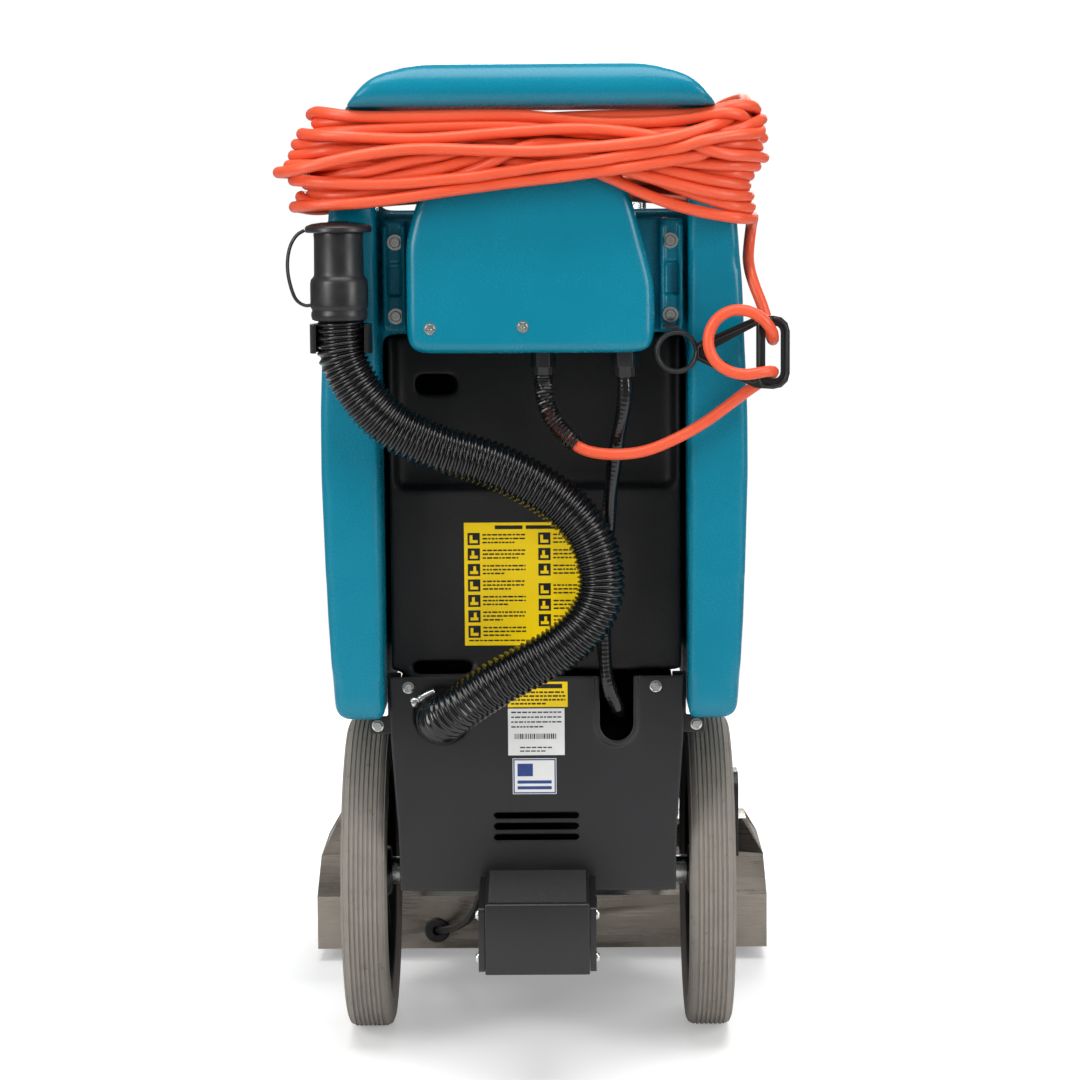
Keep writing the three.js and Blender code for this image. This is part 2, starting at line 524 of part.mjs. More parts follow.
function mainsCord() {
  add('cord_lead', FINISH.cord, hoseAlong(LEAD, CORD_R, 64, 8));
  add('cord_tail', FINISH.cord, hoseAlong(TAIL, CORD_R, 10, 8));
  const plug = join(rod('x', 8, 116, 134, -84, 787, 12), rod('x', 17, 133, 172, -84, 787, 12),
    box(171, 189, -88.5, -86.5, 782, 792), box(171, 189, -81.5, -79.5, 782, 792));
  add('power_plug', FINISH.cord, plug);
}

// The wound cord: a long ring round both handle posts, thinner where it crosses the console.
function cordBundle() {
  const ring = (x0, x1, y0, y1, r) => outline([[x0, y0, r], [x1, y0, r], [x1, y1, r], [x0, y1, r]], 6);
  const coil = cut(extrude(ring(-225, 206, -263, -104.9, 44), 'z', 803, 893),
    extrude(ring(-190, 188, -234, -134, 16), 'z', 700, 1000));
  const waist = extrude(outline([[-170, 790], [150, 790], [112, 828], [80, 848], [-60, 848]]), 'y',
    -300, -180);
  add('cord_bundle', FINISH.cord, cut(coil, waist));
}

// ---- Inside the chassis ---------------------------------------------------------------------
function internals() {
  const stages = [[0, 138], [70, 138], [72, 142], [72, 205], [64, 208], [64, 288], [50, 300], [0, 300]];
  add('vacuum_motor', FINISH.motor, turned('z', stages, 20, [45, 92, 0]));
  const pump = { x: -82, base: 138, shaft: 172 };
  add('solution_pump', FINISH.pump, join(box(pump.x - 30, pump.x + 30, 24, 100, pump.base, pump.base + 62),
    rod('y', 24, 99, 168, pump.x, pump.shaft)));
  const bowl = rod('z', 20, 174, 232, pump.x, -70);
  add('solution_filter', FINISH.clear, join(bowl, rod('z', 24, 231, 248, pump.x, -70)));
}

// ---- Brush head -----------------------------------------------------------------------------
// Stainless housing, closed above and at both ends, open below; two arms carry it on the chassis.
function brushHead() {
  const outside = [[HEAD_REAR, 14], [HEAD_REAR, 71], [300, 101], [345, 131], [400, 131], [425, 100],
    [425, 14]];
  const inner = [[HEAD_REAR + SHEET, 0], [HEAD_REAR + SHEET, 70], [300.8, 99.3], [345.6, 129.4],
    [399.2, 129.4], [423.5, 99.3], [423.5, 0]];
  const housing = cut(extrude(outline(outside), 'x', -HEAD_HALF, HEAD_HALF),
    extrude(outline(inner), 'x', -HEAD_HALF + SHEET, HEAD_HALF - SHEET));
  const bothSides = (corners, from, to) => [-1, 1].map((side) =>
    extrude(outline(corners.map(([x, z]) => [side * x, z])), 'y', from, to));
  const tapers = bothSides([[240, 101], [219, 140], [260, 140], [260, 101]], 200, 450);
  const skin = extrude(outline(outside), 'x', -300, 300);
  const ends = bothSides([[240, 101], [219.5, 131], [217.5, 130], [238, 99]], 300, 423)
    .map((end) => end.intersect(skin));
  const cableHole = rod('y', 9, 220, 250, -112, 34, 12);
  const beltSlot = box(PULLEY.from - 3, PULLEY.to + 3, BRUSH.y - 20, BRUSH.y + 20, 90, 140);
  add('brush_housing', FINISH.steel, cut(join(cut(housing, ...tapers), ...ends), cableHole, beltSlot));
  const { y, z } = HEAD_PIVOT;
  const arm = outline([[y - 12, z - 12, 10], [y + 12, z - 12], [250, 90], [300, 103], [300, 124],
    [240, 134], [y + 12, z + 12, 8], [y - 12, z + 12, 10]]);
  const relief = outline([[225, 40], [225, 66], [HEAD_REAR - GAP, 71.4], [300, 101.6], [310, 108],
    [310, 40]]);
  const armFaces = [CHASSIS_HALF + GAP, CHASSIS_HALF + 6 + GAP];
  const arms = [[-armFaces[1], -armFaces[0]], armFaces].map(([from, to]) =>
    cut(extrude(arm, 'x', from, to), extrude(relief, 'x', -300, 300)));
  const pivot = rod('x', PIVOT_R, -CHASSIS_HALF - 9, CHASSIS_HALF + 9, y, z);
  add('head_yoke', FINISH.blackSteel, join(...arms, pivot));
}

// Turned brush with its pulley and stub shafts, the motor above it, and the belt between them.
function brushDrive() {
  const { y, z, r, core, half } = BRUSH;
  const stub = HEAD_HALF - SHEET - 1;
  const side = [[r, half - 6], [core, half - 6], [core, half], [8, half], [8, stub], [0, stub]];
  const roller = turned('x', [...side.map(([u, x]) => [u, -x]).reverse(), ...side], 20, [0, y, z]);
  add('brush_roller', FINISH.bristle, join(roller, rod('x', PULLEY.r, PULLEY.from, PULLEY.to, y, z)));
  const motor = BRUSH_MOTOR;
  add('brush_motor', FINISH.motor, join(rod('x', motor.r, motor.from, motor.to, y, motor.z, 20),
    box(motor.from + 20, motor.to - 20, y + 24, y + 60, 131.4, 150)));
  add('motor_pulley', FINISH.zinc, join(rod('x', PULLEY.r, PULLEY.from, PULLEY.to, y, motor.z),
    rod('x', 5, motor.to + GAP, PULLEY.from + 1, y, motor.z, 12)));
  const loop = (reach) => outline([[y - reach, z - reach, reach - 0.1], [y + reach, z - reach, reach - 0.1],
    [y + reach, motor.z + reach, reach - 0.1], [y - reach, motor.z + reach, reach - 0.1]], 5);
  const [from, to] = [PULLEY.from + 0.5, PULLEY.to - 0.5];
  add('drive_belt', FINISH.hose, cut(extrude(loop(PULLEY.r + 3), 'x', from, to),
    extrude(loop(PULLEY.r + GAP + 0.2), 'x', from - 5, to + 5)));
  const guardSide = outline([[y - 26, 99.5], [y - 22, 101.4], [y + 22.8, 131.4], [y + 26, 131.4],
    [y + 26, 178, 8], [y + 14, 190, 6], [y - 14, 190, 6], [y - 26, 178, 8]], 2);
  const guardRoom = outline([[y - 24.5, 60], [y + 24.5, 60], [y + 24.5, 177, 7], [y + 13.4, 188.5, 5],
    [y - 13.4, 188.5, 5], [y - 24.5, 177, 7]], 2);
  add('belt_guard', FINISH.blackSteel, cut(extrude(guardSide, 'x', 190, 213),
    extrude(guardRoom, 'x', 191.5, 211.5), rod('x', 7, 180, 200, y, motor.z, 12)));
  const spray = { y: 262, z: 70 };
  const jets = [-140, 0, 140].map((x) => rod('z', 6, 48, spray.z - 2, x, spray.y, 8));
  add('spray_manifold', FINISH.zinc, join(rod('x', 7, -190, 190, spray.y, spray.z, 10), ...jets));
}

// ---- Vacuum shoe ----------------------------------------------------------------------------
function vacuumShoe() {
  const { rear, front, half, top } = SHOE;
  const funnel = outline([[rear, 0], [rear + 3, 0], [rear + 12, 36], [rear + 26, 36], [rear + 35, 0],
    [rear + 38, 0], [front - 6, top, 6], [rear + 8, top, 6]]);
  const body = extrude(funnel, 'x', -half, half);
  const capSide = outline([[rear - 1, 0], [rear + 39, 0], [front - 5, top - 1], [rear + 7, top - 1]]);
  const endCaps = [[-half - 3, -half + 0.2], [half - 0.2, half + 3]].map(([from, to]) =>
    extrude(capSide, 'x', from, to));
  const throat = box(-60, 60, rear + 14, rear + 24, 30, top + 10);
  add('vacuum_shoe', FINISH.steel, cut(join(body, ...endCaps), throat));
  const duct = extrude(outline([[rear + 8, top + GAP], [rear + 40, top + GAP], [rear + 40, 180, 20],
    [375, 330, 30], [375, 600], [363, 600], [363, 330, 20], [rear + 8, 175, 20]], 3), 'x', -40, 40);
  const bore = extrude(outline([[rear + 12, 0], [rear + 36, 0], [rear + 36, 180, 18], [371.5, 332, 28],
    [371.5, 590], [366, 590], [366, 330, 18], [rear + 12, 175, 18]], 3), 'x', -36, 36);
  add('vacuum_duct', FINISH.blackPlastic, cut(duct, bore));
  const { low, high, start } = SHOE_ARM;
  const rail = outline([[start, low], [430, low], [rear + 10, top + 16], [rear + 10, top + GAP],
    [rear + 34, top + GAP], [rear + 34, 110], [452, high], [start, high]]);
  const lugEnd = CHASSIS_FRONT - 2;
  add('shoe_arm_left', FINISH.blackSteel, join(extrude(rail, 'x', -150, -146),
    box(-146.5, -CHASSIS_HALF - GAP, start, lugEnd, low, high)));
  add('shoe_arm_right', FINISH.blackSteel, join(extrude(rail, 'x', 146, 150),
    box(CHASSIS_HALF + GAP, 146.5, start, lugEnd, low, high)));
}

// ---- Brush lift pedal -----------------------------------------------------------------------
function pedal() {
  const plate = outline([[-250, 110], [-250, 176, 3], [-165, 189, 3], [-165, 176], [-240, 165], [-240, 110]]);
  add('brush_pedal', FINISH.blackSteel, extrude(plate, 'x', -48, 48));
  const { y, z } = PEDAL_PIVOT;
  const arm = outline([[-248, 112, 4], [-226, 112], [-200, 132], [y, z - 9, 6], [y + 9, z, 6],
    [y, z + 9, 6], [-154, 162], [-168, 184], [-248, 172, 4]]);
  add('pedal_lever', FINISH.blackSteel, join(extrude(arm, 'x', -54, -48.3), extrude(arm, 'x', 48.3, 54),
    rod('x', PIVOT_R, -56, 56, y, z)));
}

wheel(-1, 'left');
wheel(1, 'right');
axle();
chassis();
rearCover();
solutionTank();
solutionLid();
recoveryTank();
floatValve();
recoveryDome();
consoleBracket();
consoleCover();
switches();
glands();
drain();
cordRestraint();
mainsCord();
cordBundle();
internals();
brushHead();
brushDrive();
vacuumShoe();
pedal();

export default machine;
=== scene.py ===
# %% [markdown]
# # A walk-behind carpet cleaner
# The machine is a moulded tank on two wheels, with a brush head in front, a console and a wound
# mains cord behind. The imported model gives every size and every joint. This lesson puts a finished
# surface on each piece, in metres, with the machine's origin on the floor under its middle.

# %% Load the frame
import math
import random

import bmesh
import bpy
import numpy as np
from mathutils import Matrix, Vector


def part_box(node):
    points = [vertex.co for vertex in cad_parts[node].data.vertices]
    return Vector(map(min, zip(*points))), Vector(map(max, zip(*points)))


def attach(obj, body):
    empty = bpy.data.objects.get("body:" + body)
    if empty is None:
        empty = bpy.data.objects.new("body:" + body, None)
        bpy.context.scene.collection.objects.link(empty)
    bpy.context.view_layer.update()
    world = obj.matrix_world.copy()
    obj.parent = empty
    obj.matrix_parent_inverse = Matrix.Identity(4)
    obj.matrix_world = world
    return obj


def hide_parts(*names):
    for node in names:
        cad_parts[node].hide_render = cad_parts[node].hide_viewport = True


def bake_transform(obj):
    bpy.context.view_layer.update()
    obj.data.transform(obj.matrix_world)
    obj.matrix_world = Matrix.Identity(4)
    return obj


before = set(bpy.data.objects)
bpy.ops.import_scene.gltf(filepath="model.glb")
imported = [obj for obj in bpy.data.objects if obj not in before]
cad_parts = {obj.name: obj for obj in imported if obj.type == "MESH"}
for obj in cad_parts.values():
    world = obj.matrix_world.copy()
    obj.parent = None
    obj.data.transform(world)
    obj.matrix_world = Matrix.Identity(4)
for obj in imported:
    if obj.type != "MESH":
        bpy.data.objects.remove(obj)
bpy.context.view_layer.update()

# %% [markdown]
# Positions on a machine are easiest to read in millimetres from its axle, the way that a maker
# measures. One helper turns such a place into the frame's metres, and reads the axle from the frame.

# %% Places
axle_low, axle_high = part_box("axle")
AXLE_Y = (axle_low.y + axle_high.y) / 2
AXLE_Z = (axle_low.z + axle_high.z) / 2


def place(x, y, z):
    """A point given in millimetres from the axle and the floor, in the frame's metres."""
    return Vector((x / 1000, AXLE_Y + y / 1000, z / 1000))


def places(rows):
    """Many such points, as an array."""
    return np.array([place(*row) for row in rows])


print("axle at", round(AXLE_Y, 4), round(AXLE_Z, 4))

# %% [markdown]
# The camera stands behind the machine at chest height, a little right of its middle, and looks
# slightly down. A long lens keeps the upright lines nearly parallel. A roll of half a degree sets
# the machine very slightly off upright, as a hand-held tripod does.

# %% Camera
CAMERA_AT = Vector((0.03005, -3.2199, 0.850))
PITCH, YAW, ROLL = math.radians(6.785), math.radians(0.5), math.radians(0.45)
SENSOR = 36.0
LENS = SENSOR * 3190 / 1080

camera_data = bpy.data.cameras.new("camera")
camera_data.sensor_width = SENSOR
camera_data.lens = LENS
camera = bpy.data.objects.new("camera", camera_data)
bpy.context.scene.collection.objects.link(camera)
ahead = Vector((-math.sin(YAW) * math.cos(PITCH), math.cos(YAW) * math.cos(PITCH), -math.sin(PITCH)))
across = ahead.cross(Vector((0, 0, 1))).normalized()
upward = across.cross(ahead)
top = upward * math.cos(ROLL) + across * math.sin(ROLL)
side = ahead.cross(top)
turn = Matrix((side, top, -ahead)).transposed()
camera.matrix_world = Matrix.Translation(CAMERA_AT) @ turn.to_4x4()
bpy.context.scene.camera = camera
bpy.context.scene.view_settings.view_transform = "Standard"
print("lens", round(LENS, 1), "mm")

# %% [markdown]
# Studio light is broad and soft. The backdrop is white where the camera looks straight at it, but
# the room that the surfaces mirror is dim, so the blacks stay black. A large softbox on each side
# of the camera draws the long highlights down the tank's edges, and one above lights the handle.
# The floor is a pale sheet that ends behind the machine, where it would only turn grey.

# %% Light and floor
world = bpy.data.worlds.new("studio")
bpy.context.scene.world = world
world.use_nodes = True
ROOM, BACKDROP = 0.24, 1.02
backdrop = world.node_tree.nodes["Background"]
backdrop.inputs["Color"].default_value = (1, 1, 1, 1)
seen = world.node_tree.nodes.new("ShaderNodeLightPath")
strength = world.node_tree.nodes.new("ShaderNodeMath")
strength.operation = "MULTIPLY_ADD"
strength.inputs[1].default_value, strength.inputs[2].default_value = BACKDROP - ROOM, ROOM
world.node_tree.links.new(seen.outputs["Is Camera Ray"], strength.inputs[0])
world.node_tree.links.new(strength.outputs[0], backdrop.inputs["Strength"])


def softbox(name, at, towards, width, height, power):
    """A rectangular area light at one point, aimed at another."""
    data = bpy.data.lights.new(name, "AREA")
    data.shape = "RECTANGLE"
    data.size, data.size_y, data.energy = width, height, power
    lamp = bpy.data.objects.new(name, data)
    lamp.location = at
    lamp.rotation_euler = (Vector(towards) - Vector(at)).to_track_quat("-Z", "Y").to_euler()
    bpy.context.scene.collection.objects.link(lamp)


MIDDLE = (0, -0.1, 0.5)
softbox("softbox left", (-2.0, -2.1, 1.5), MIDDLE, 1.0, 1.8, 46)
softbox("softbox right", (2.1, -1.9, 1.3), MIDDLE, 0.9, 1.8, 34)
softbox("softbox above", (0.0, -0.7, 2.7), (0, 0, 0.8), 2.2, 1.4, 52)
softbox("softbox front", (0.4, 2.6, 1.6), MIDDLE, 1.6, 1.4, 40)

floor_mesh = bpy.data.meshes.new("floor")
FLOOR_HALF = 1.7
floor_mesh.from_pydata([(-FLOOR_HALF, -FLOOR_HALF, 0), (FLOOR_HALF, -FLOOR_HALF, 0),
                        (FLOOR_HALF, FLOOR_HALF, 0), (-FLOOR_HALF, FLOOR_HALF, 0)], [], [(0, 1, 2, 3)])
floor = bpy.data.objects.new("floor", floor_mesh)
bpy.context.scene.collection.objects.link(floor)

# %% [markdown]
# A material is a small graph of nodes. One function adds any node: plain values go to its settings
# or its sockets, and a socket given as a value becomes a link. Colours are written as the sRGB hex
# that a colour picker shows, so they are turned to linear light first.

# %% Material helpers


def linear(code, alpha=1.0):
    """An sRGB hex colour as linear RGBA."""
    channels = [int(code[i:i + 2], 16) / 255 for i in (1, 3, 5)]
    return tuple(c / 12.92 if c <= 0.04045 else ((c + 0.055) / 1.055) ** 2.4
                 for c in channels) + (alpha,)


def add_node(tree, kind, settings=None, sockets=None):
    """Adds one node. Settings are its properties; sockets are values or links for its inputs."""
    made = tree.nodes.new(kind)
    for key, value in (settings or {}).items():
        setattr(made, key, value)
    for key, value in (sockets or {}).items():
        if isinstance(value, bpy.types.NodeSocket):
            tree.links.new(value, made.inputs[key])
        else:
            made.inputs[key].default_value = value
    return made


def new_material(name, colour, **shader_sockets):
    """A material with its shader and Object coordinates: (material, tree, shader, coordinates)."""
    material = bpy.data.materials.new(name)
    material.use_nodes = True
    tree = material.node_tree
    tree.nodes.clear()
    sockets = {"Base Color": linear(colour)}
    sockets.update({key.replace("_", " "): value for key, value in shader_sockets.items()})
    shader = add_node(tree, "ShaderNodeBsdfPrincipled", sockets=sockets)
    output = add_node(tree, "ShaderNodeOutputMaterial", sockets={"Surface": shader.outputs[0]})
    output.is_active_output = True
    coordinates = add_node(tree, "ShaderNodeTexCoord").outputs["Object"]
    material.diffuse_color = linear(colour)
    return material, tree, shader, coordinates


def per_metre(size_mm):
    """A noise scale whose blobs are about that many millimetres across."""
    return 1000 / size_mm


def vary(tree, shader, coordinates, dark, light, roughness, patch_mm, grain_mm, depth_mm,
         stretch=(1, 1, 1), detail=3.0):
    """Patches of colour and gloss from one slow noise, and a relief from one fine noise."""
    stretched = add_node(tree, "ShaderNodeMapping", sockets={
        "Vector": coordinates, "Scale": stretch}).outputs[0]
    slow = add_node(tree, "ShaderNodeTexNoise", sockets={
        "Vector": coordinates, "Scale": per_metre(patch_mm), "Detail": 4.0})
    colour = add_node(tree, "ShaderNodeMix", {"data_type": "RGBA"}, {
        0: slow.outputs["Fac"], 6: linear(dark), 7: linear(light)})
    tree.links.new(colour.outputs[2], shader.inputs["Base Color"])
    fine = add_node(tree, "ShaderNodeTexNoise", sockets={
        "Vector": stretched, "Scale": per_metre(grain_mm), "Detail": detail})
    mixed = add_node(tree, "ShaderNodeMath", {"operation": "MULTIPLY"}, {
        0: slow.outputs["Fac"], 1: fine.outputs["Fac"]})
    gloss = add_node(tree, "ShaderNodeMapRange", sockets={
        "Value": mixed.outputs[0], "From Min": 0.12, "From Max": 0.38,
        "To Min": roughness[0], "To Max": roughness[1]})
    tree.links.new(gloss.outputs[0], shader.inputs["Roughness"])
    relief = add_node(tree, "ShaderNodeBump", sockets={
        "Height": fine.outputs["Fac"], "Distance": depth_mm / 1000, "Strength": 1.0})
    tree.links.new(relief.outputs[0], shader.inputs["Normal"])
    return relief, slow, fine


# %% [markdown]
# The teal tank and hood are rotomoulded polyethylene: powder melts against a warm mould, which
# leaves a waxy half gloss and a skin that is faintly pebbled, about a millimetre from bump to bump.
# The black tank comes from a sand-blasted mould, so its skin is coarser and duller.

# %% Moulded plastics
teal, t, s, c = new_material("teal rotomoulded polyethylene", "#03849E", IOR=1.5,
                            Specular_IOR_Level=0.36)
vary(t, s, c, "#007089", "#007F98", (0.22, 0.34), 90, 1.6, 0.05)

teal_hood, t, s, c = new_material("teal moulded hood", "#03849E", IOR=1.5,
                                 Specular_IOR_Level=0.36)
vary(t, s, c, "#00758D", "#007E97", (0.20, 0.30), 60, 2.4, 0.03)

black_tank, t, s, c = new_material("sand-textured black polyethylene", "#131314", IOR=1.5,
                                  Specular_IOR_Level=0.38)
vary(t, s, c, "#0E0E0F", "#161617", (0.42, 0.62), 40, 1.5, 0.28)

black_plastic, t, s, c = new_material("black moulded nylon", "#161617", IOR=1.53)
vary(t, s, c, "#0F0F10", "#161618", (0.30, 0.38), 60, 0.8, 0.02)

# %% [markdown]
# Hose, cuff and cord are soft vinyl. The hose is extruded and shiny, the cuff is moulded and
# satin, and the cord's jacket is orange with a faint lay from the three wires twisted inside.

# %% Soft plastics and rubber
hose_vinyl, t, s, c = new_material("glossy black hose vinyl", "#0B0B0C", IOR=1.53)
vary(t, s, c, "#080809", "#101011", (0.12, 0.26), 30, 1.0, 0.02)

cuff_rubber, t, s, c = new_material("satin black cuff rubber", "#1A1A1B", IOR=1.52)
vary(t, s, c, "#151516", "#1F1F20", (0.30, 0.46), 12, 0.9, 0.03)

cord_jacket, t, s, c = new_material("orange cord jacket", "#E8502F", IOR=1.53)
vary(t, s, c, "#E14F2B", "#EC5C36", (0.34, 0.48), 45, 3.0, 0.05)

tyre_rubber, t, s, c = new_material("grey non-marking tyre rubber", "#8B857E", IOR=1.52)
relief, slow, fine = vary(t, s, c, "#77716A", "#928C84", (0.68, 0.9), 22, 1.4, 0.12)
scuffs = add_node(t, "ShaderNodeTexNoise", sockets={
    "Vector": c, "Scale": per_metre(9), "Detail": 6.0, "Roughness": 0.7})
dirt = add_node(t, "ShaderNodeMapRange", sockets={
    "Value": scuffs.outputs["Fac"], "From Min": 0.6, "From Max": 0.74})
worn = add_node(t, "ShaderNodeMix", {"data_type": "RGBA"}, {
    0: dirt.outputs[0], 6: s.inputs["Base Color"].links[0].from_socket, 7: linear("#5F5547")})
t.links.new(worn.outputs[2], s.inputs["Base Color"])

# %% [markdown]
# The cover and the brackets are steel with a satin powder coat, whose skin has a fine orange peel.
# The brush housing is stainless steel, rolled along its length, so its scratches run sideways. The
# screws are zinc plated.

# %% Metals
powder_coat, t, s, c = new_material("satin black powder coat", "#232225", IOR=1.5)
vary(t, s, c, "#171618", "#201F22", (0.32, 0.44), 70, 0.9, 0.03)

stainless, t, s, c = new_material("brushed stainless steel", "#B4ABA0", Metallic=1.0)
vary(t, s, c, "#8C8379", "#B9B0A6", (0.22, 0.42), 55, 1.2, 0.05, stretch=(0.02, 1, 1))

zinc, t, s, c = new_material("zinc plated steel", "#C4C4C0", Metallic=1.0)
vary(t, s, c, "#BDBDB9", "#DEDEDA", (0.16, 0.3), 6, 0.7, 0.01)

motor_paint, t, s, c = new_material("grey cast motor housing", "#5A5D61", Metallic=0.6)
vary(t, s, c, "#4B4E52", "#63666B", (0.42, 0.6), 18, 0.9, 0.08)

pump_paint, t, s, c = new_material("blue enamelled pump", "#2B3F7A", IOR=1.5)
vary(t, s, c, "#24356A", "#314A8C", (0.3, 0.45), 20, 1.0, 0.04)

# The grit tape's light specks are partly the grey tone of its grains and partly painted glints, lighter
# colour where the grains would catch the light.
grit, t, s, c = new_material("black grit tape with painted glints", "#19191A", IOR=1.5)
vary(t, s, c, "#0E0E0F", "#3A3A3B", (0.6, 0.95), 1.6, 1.3, 0.5)

# %% [markdown]
# The labels are printed vinyl. Nothing on them is written: the print is plain bars and squares, as
# a printer's dummy has. Clear parts are polycarbonate, and the brush is nylon. The floor's paper
# glows a little, but for the camera alone, so that it meets the backdrop without a line.

# %% Print, clear plastic, bristle
yellow_vinyl, t, s, c = new_material("yellow label vinyl", "#F8D200", IOR=1.5)
vary(t, s, c, "#F3CB00", "#FBD908", (0.28, 0.36), 20, 2.0, 0.01)
white_vinyl, t, s, c = new_material("white label vinyl", "#E6E6E4", IOR=1.5)
vary(t, s, c, "#DEDEDC", "#EAEAE8", (0.28, 0.36), 20, 2.0, 0.01)
black_print, t, s, c = new_material("black label ink", "#121212", IOR=1.5)
vary(t, s, c, "#0E0E0E", "#171717", (0.3, 0.38), 8, 1.0, 0.01)
blue_print, t, s, c = new_material("blue label ink", "#24407E", IOR=1.5)
vary(t, s, c, "#203A75", "#284689", (0.3, 0.38), 8, 1.0, 0.01)

clear_dome, t, s, c = new_material("clear polycarbonate", "#EEF4F5", IOR=1.585, Transmission_Weight=1.0)
vary(t, s, c, "#E8F0F1", "#F2F7F8", (0.02, 0.07), 60, 3.0, 0.01)

bristle_nylon, t, s, c = new_material("nylon bristle", "#3A4048", IOR=1.53)
vary(t, s, c, "#2B3036", "#4A525C", (0.35, 0.55), 5, 1.0, 0.05)

FLOOR_GLOW = 0.3
floor_paint, t, s, c = new_material("pale studio floor", "#F4F4F4", IOR=1.45)
vary(t, s, c, "#F3F3F3", "#F6F6F6", (0.6, 0.7), 900, 40, 0.01)
looked_at = add_node(t, "ShaderNodeMath", {"operation": "MULTIPLY"}, {
    0: add_node(t, "ShaderNodeLightPath").outputs["Is Camera Ray"], 1: FLOOR_GLOW})
s.inputs["Emission Color"].default_value = (1, 1, 1, 1)
t.links.new(looked_at.outputs[0], s.inputs["Emission Strength"])
floor_mesh.materials.append(floor_paint)
print(len(bpy.data.materials), "materials")

# %% [markdown]
# Every piece ends the same way: a mesh in the frame's metres, its object at the origin, riding on
# its CAD body and standing for its CAD nodes. One function does that, so that no step forgets it.
# Faces are smooth except across edges sharper than a given angle. A face with many corners is a
# flat sheet, so it stays flat.

# %% Piece helpers


def as_mesh(name, source):
    """A bmesh as a new mesh; a mesh is returned as it is."""
    if not isinstance(source, bmesh.types.BMesh):
        return source
    data = bpy.data.meshes.new(name)
    source.to_mesh(data)
    source.free()
    return data


def finish_piece(name, source, material, body, nodes=(), smooth=40):
    """A mesh or bmesh as a named piece that rides on a body and replaces CAD nodes."""
    data = as_mesh(name, source)
    data.name = name
    if not len(data.materials):
        data.materials.append(material)
    data.polygons.foreach_set("use_smooth", [len(face.vertices) <= 4 for face in data.polygons])
    data.set_sharp_from_angle(angle=math.radians(smooth))
    data.update()
    piece = bpy.data.objects.new(name, data)
    bpy.context.scene.collection.objects.link(piece)
    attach(piece, body)
    if nodes:
        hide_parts(*nodes)
    return piece


def evaluated(source, modifiers):
    """The mesh that a bmesh or mesh becomes under a list of (kind, settings) modifiers."""
    work = bpy.data.objects.new("work", as_mesh("work", source))
    bpy.context.scene.collection.objects.link(work)
    for kind, settings in modifiers:
        modifier = work.modifiers.new(kind.lower(), kind)
        for key, value in settings.items():
            setattr(modifier, key, value)
    graph = bpy.context.evaluated_depsgraph_get()
    result = bpy.data.meshes.new_from_object(work.evaluated_get(graph))
    bpy.data.objects.remove(work)
    return result


def merged(*nodes):
    """One bmesh of CAD nodes, with the loose corners of their triangles joined."""
    mesh = bmesh.new()
    for name in nodes:
        mesh.from_mesh(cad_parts[name].data)
    bmesh.ops.remove_doubles(mesh, verts=mesh.verts, dist=2e-6)
    return mesh


def bevelled(name, nodes, width_mm, material, body, segments=2, smooth=25):
    """CAD nodes with flat faces rejoined and every sharp edge broken, as a made part has."""
    mesh = merged(*nodes)
    bmesh.ops.dissolve_limit(mesh, angle_limit=math.radians(1), verts=mesh.verts, edges=mesh.edges)
    result = evaluated(mesh, [("BEVEL", {
        "width": width_mm / 1000, "segments": segments, "limit_method": "ANGLE",
        "angle_limit": math.radians(32), "use_clamp_overlap": True})])
    return finish_piece(name, result, material, body, nodes, smooth)


def add_box(mesh, low, high):
    """A closed box in a bmesh, between two corners."""
    made = bmesh.ops.create_cube(mesh, size=1)["verts"]
    low, high = Vector(low), Vector(high)
    for v in made:
        v.co = Vector(((low + high) / 2)) + Vector(
            (v.co[i] * (high[i] - low[i]) for i in range(3)))
    return made


def smooth_line(points, step):
    """A smooth line through points (metres), resampled at even steps."""
    p = np.vstack([2 * points[0] - points[1], points, 2 * points[-1] - points[-2]])
    dense = []
    for i in range(1, len(p) - 2):
        a, b, c, d = p[i - 1], p[i], p[i + 1], p[i + 2]
        knots = np.cumsum([0] + [max(np.linalg.norm(v - u), 1e-9) ** 0.5
                                 for u, v in ((a, b), (b, c), (c, d))])
        t0, t1, t2, t3 = knots
        for t in np.linspace(t1, t2, 24, endpoint=False):
            a1 = (t1 - t) / (t1 - t0) * a + (t - t0) / (t1 - t0) * b
            a2 = (t2 - t) / (t2 - t1) * b + (t - t1) / (t2 - t1) * c
            a3 = (t3 - t) / (t3 - t2) * c + (t - t2) / (t3 - t2) * d
            b1 = (t2 - t) / (t2 - t0) * a1 + (t - t0) / (t2 - t0) * a2
            b2 = (t3 - t) / (t3 - t1) * a2 + (t - t1) / (t3 - t1) * a3
            dense.append((t2 - t) / (t2 - t1) * b1 + (t - t1) / (t2 - t1) * b2)
    dense.append(p[-2])
    return even_line(np.array(dense), step)


def even_line(line, step):
    """A line resampled so that its points lie a given step apart."""
    run = np.concatenate([[0], np.cumsum(np.linalg.norm(np.diff(line, axis=0), axis=1))])
    count = max(2, int(round(run[-1] / step)) + 1)
    at = np.linspace(0, run[-1], count)
    return np.column_stack([np.interp(at, run, line[:, i]) for i in range(3)])


def length_of(line):
    return float(np.linalg.norm(np.diff(line, axis=0), axis=1).sum())


def frames_along(line):
    """Two directions across a line at each point, which turn as little as they can."""
    tangents = np.gradient(line, axis=0)
    tangents /= np.linalg.norm(tangents, axis=1)[:, None]
    normal = np.cross(tangents[0], (0.0, 0.0, 1.0))
    if np.linalg.norm(normal) < 1e-3:
        normal = np.cross(tangents[0], (0.0, 1.0, 0.0))
    normals = []
    for tangent in tangents:
        normal = normal - tangent * (normal @ tangent)
        normal /= np.linalg.norm(normal)
        normals.append(normal.copy())
    normals = np.array(normals)
    return normals, np.cross(tangents, normals)


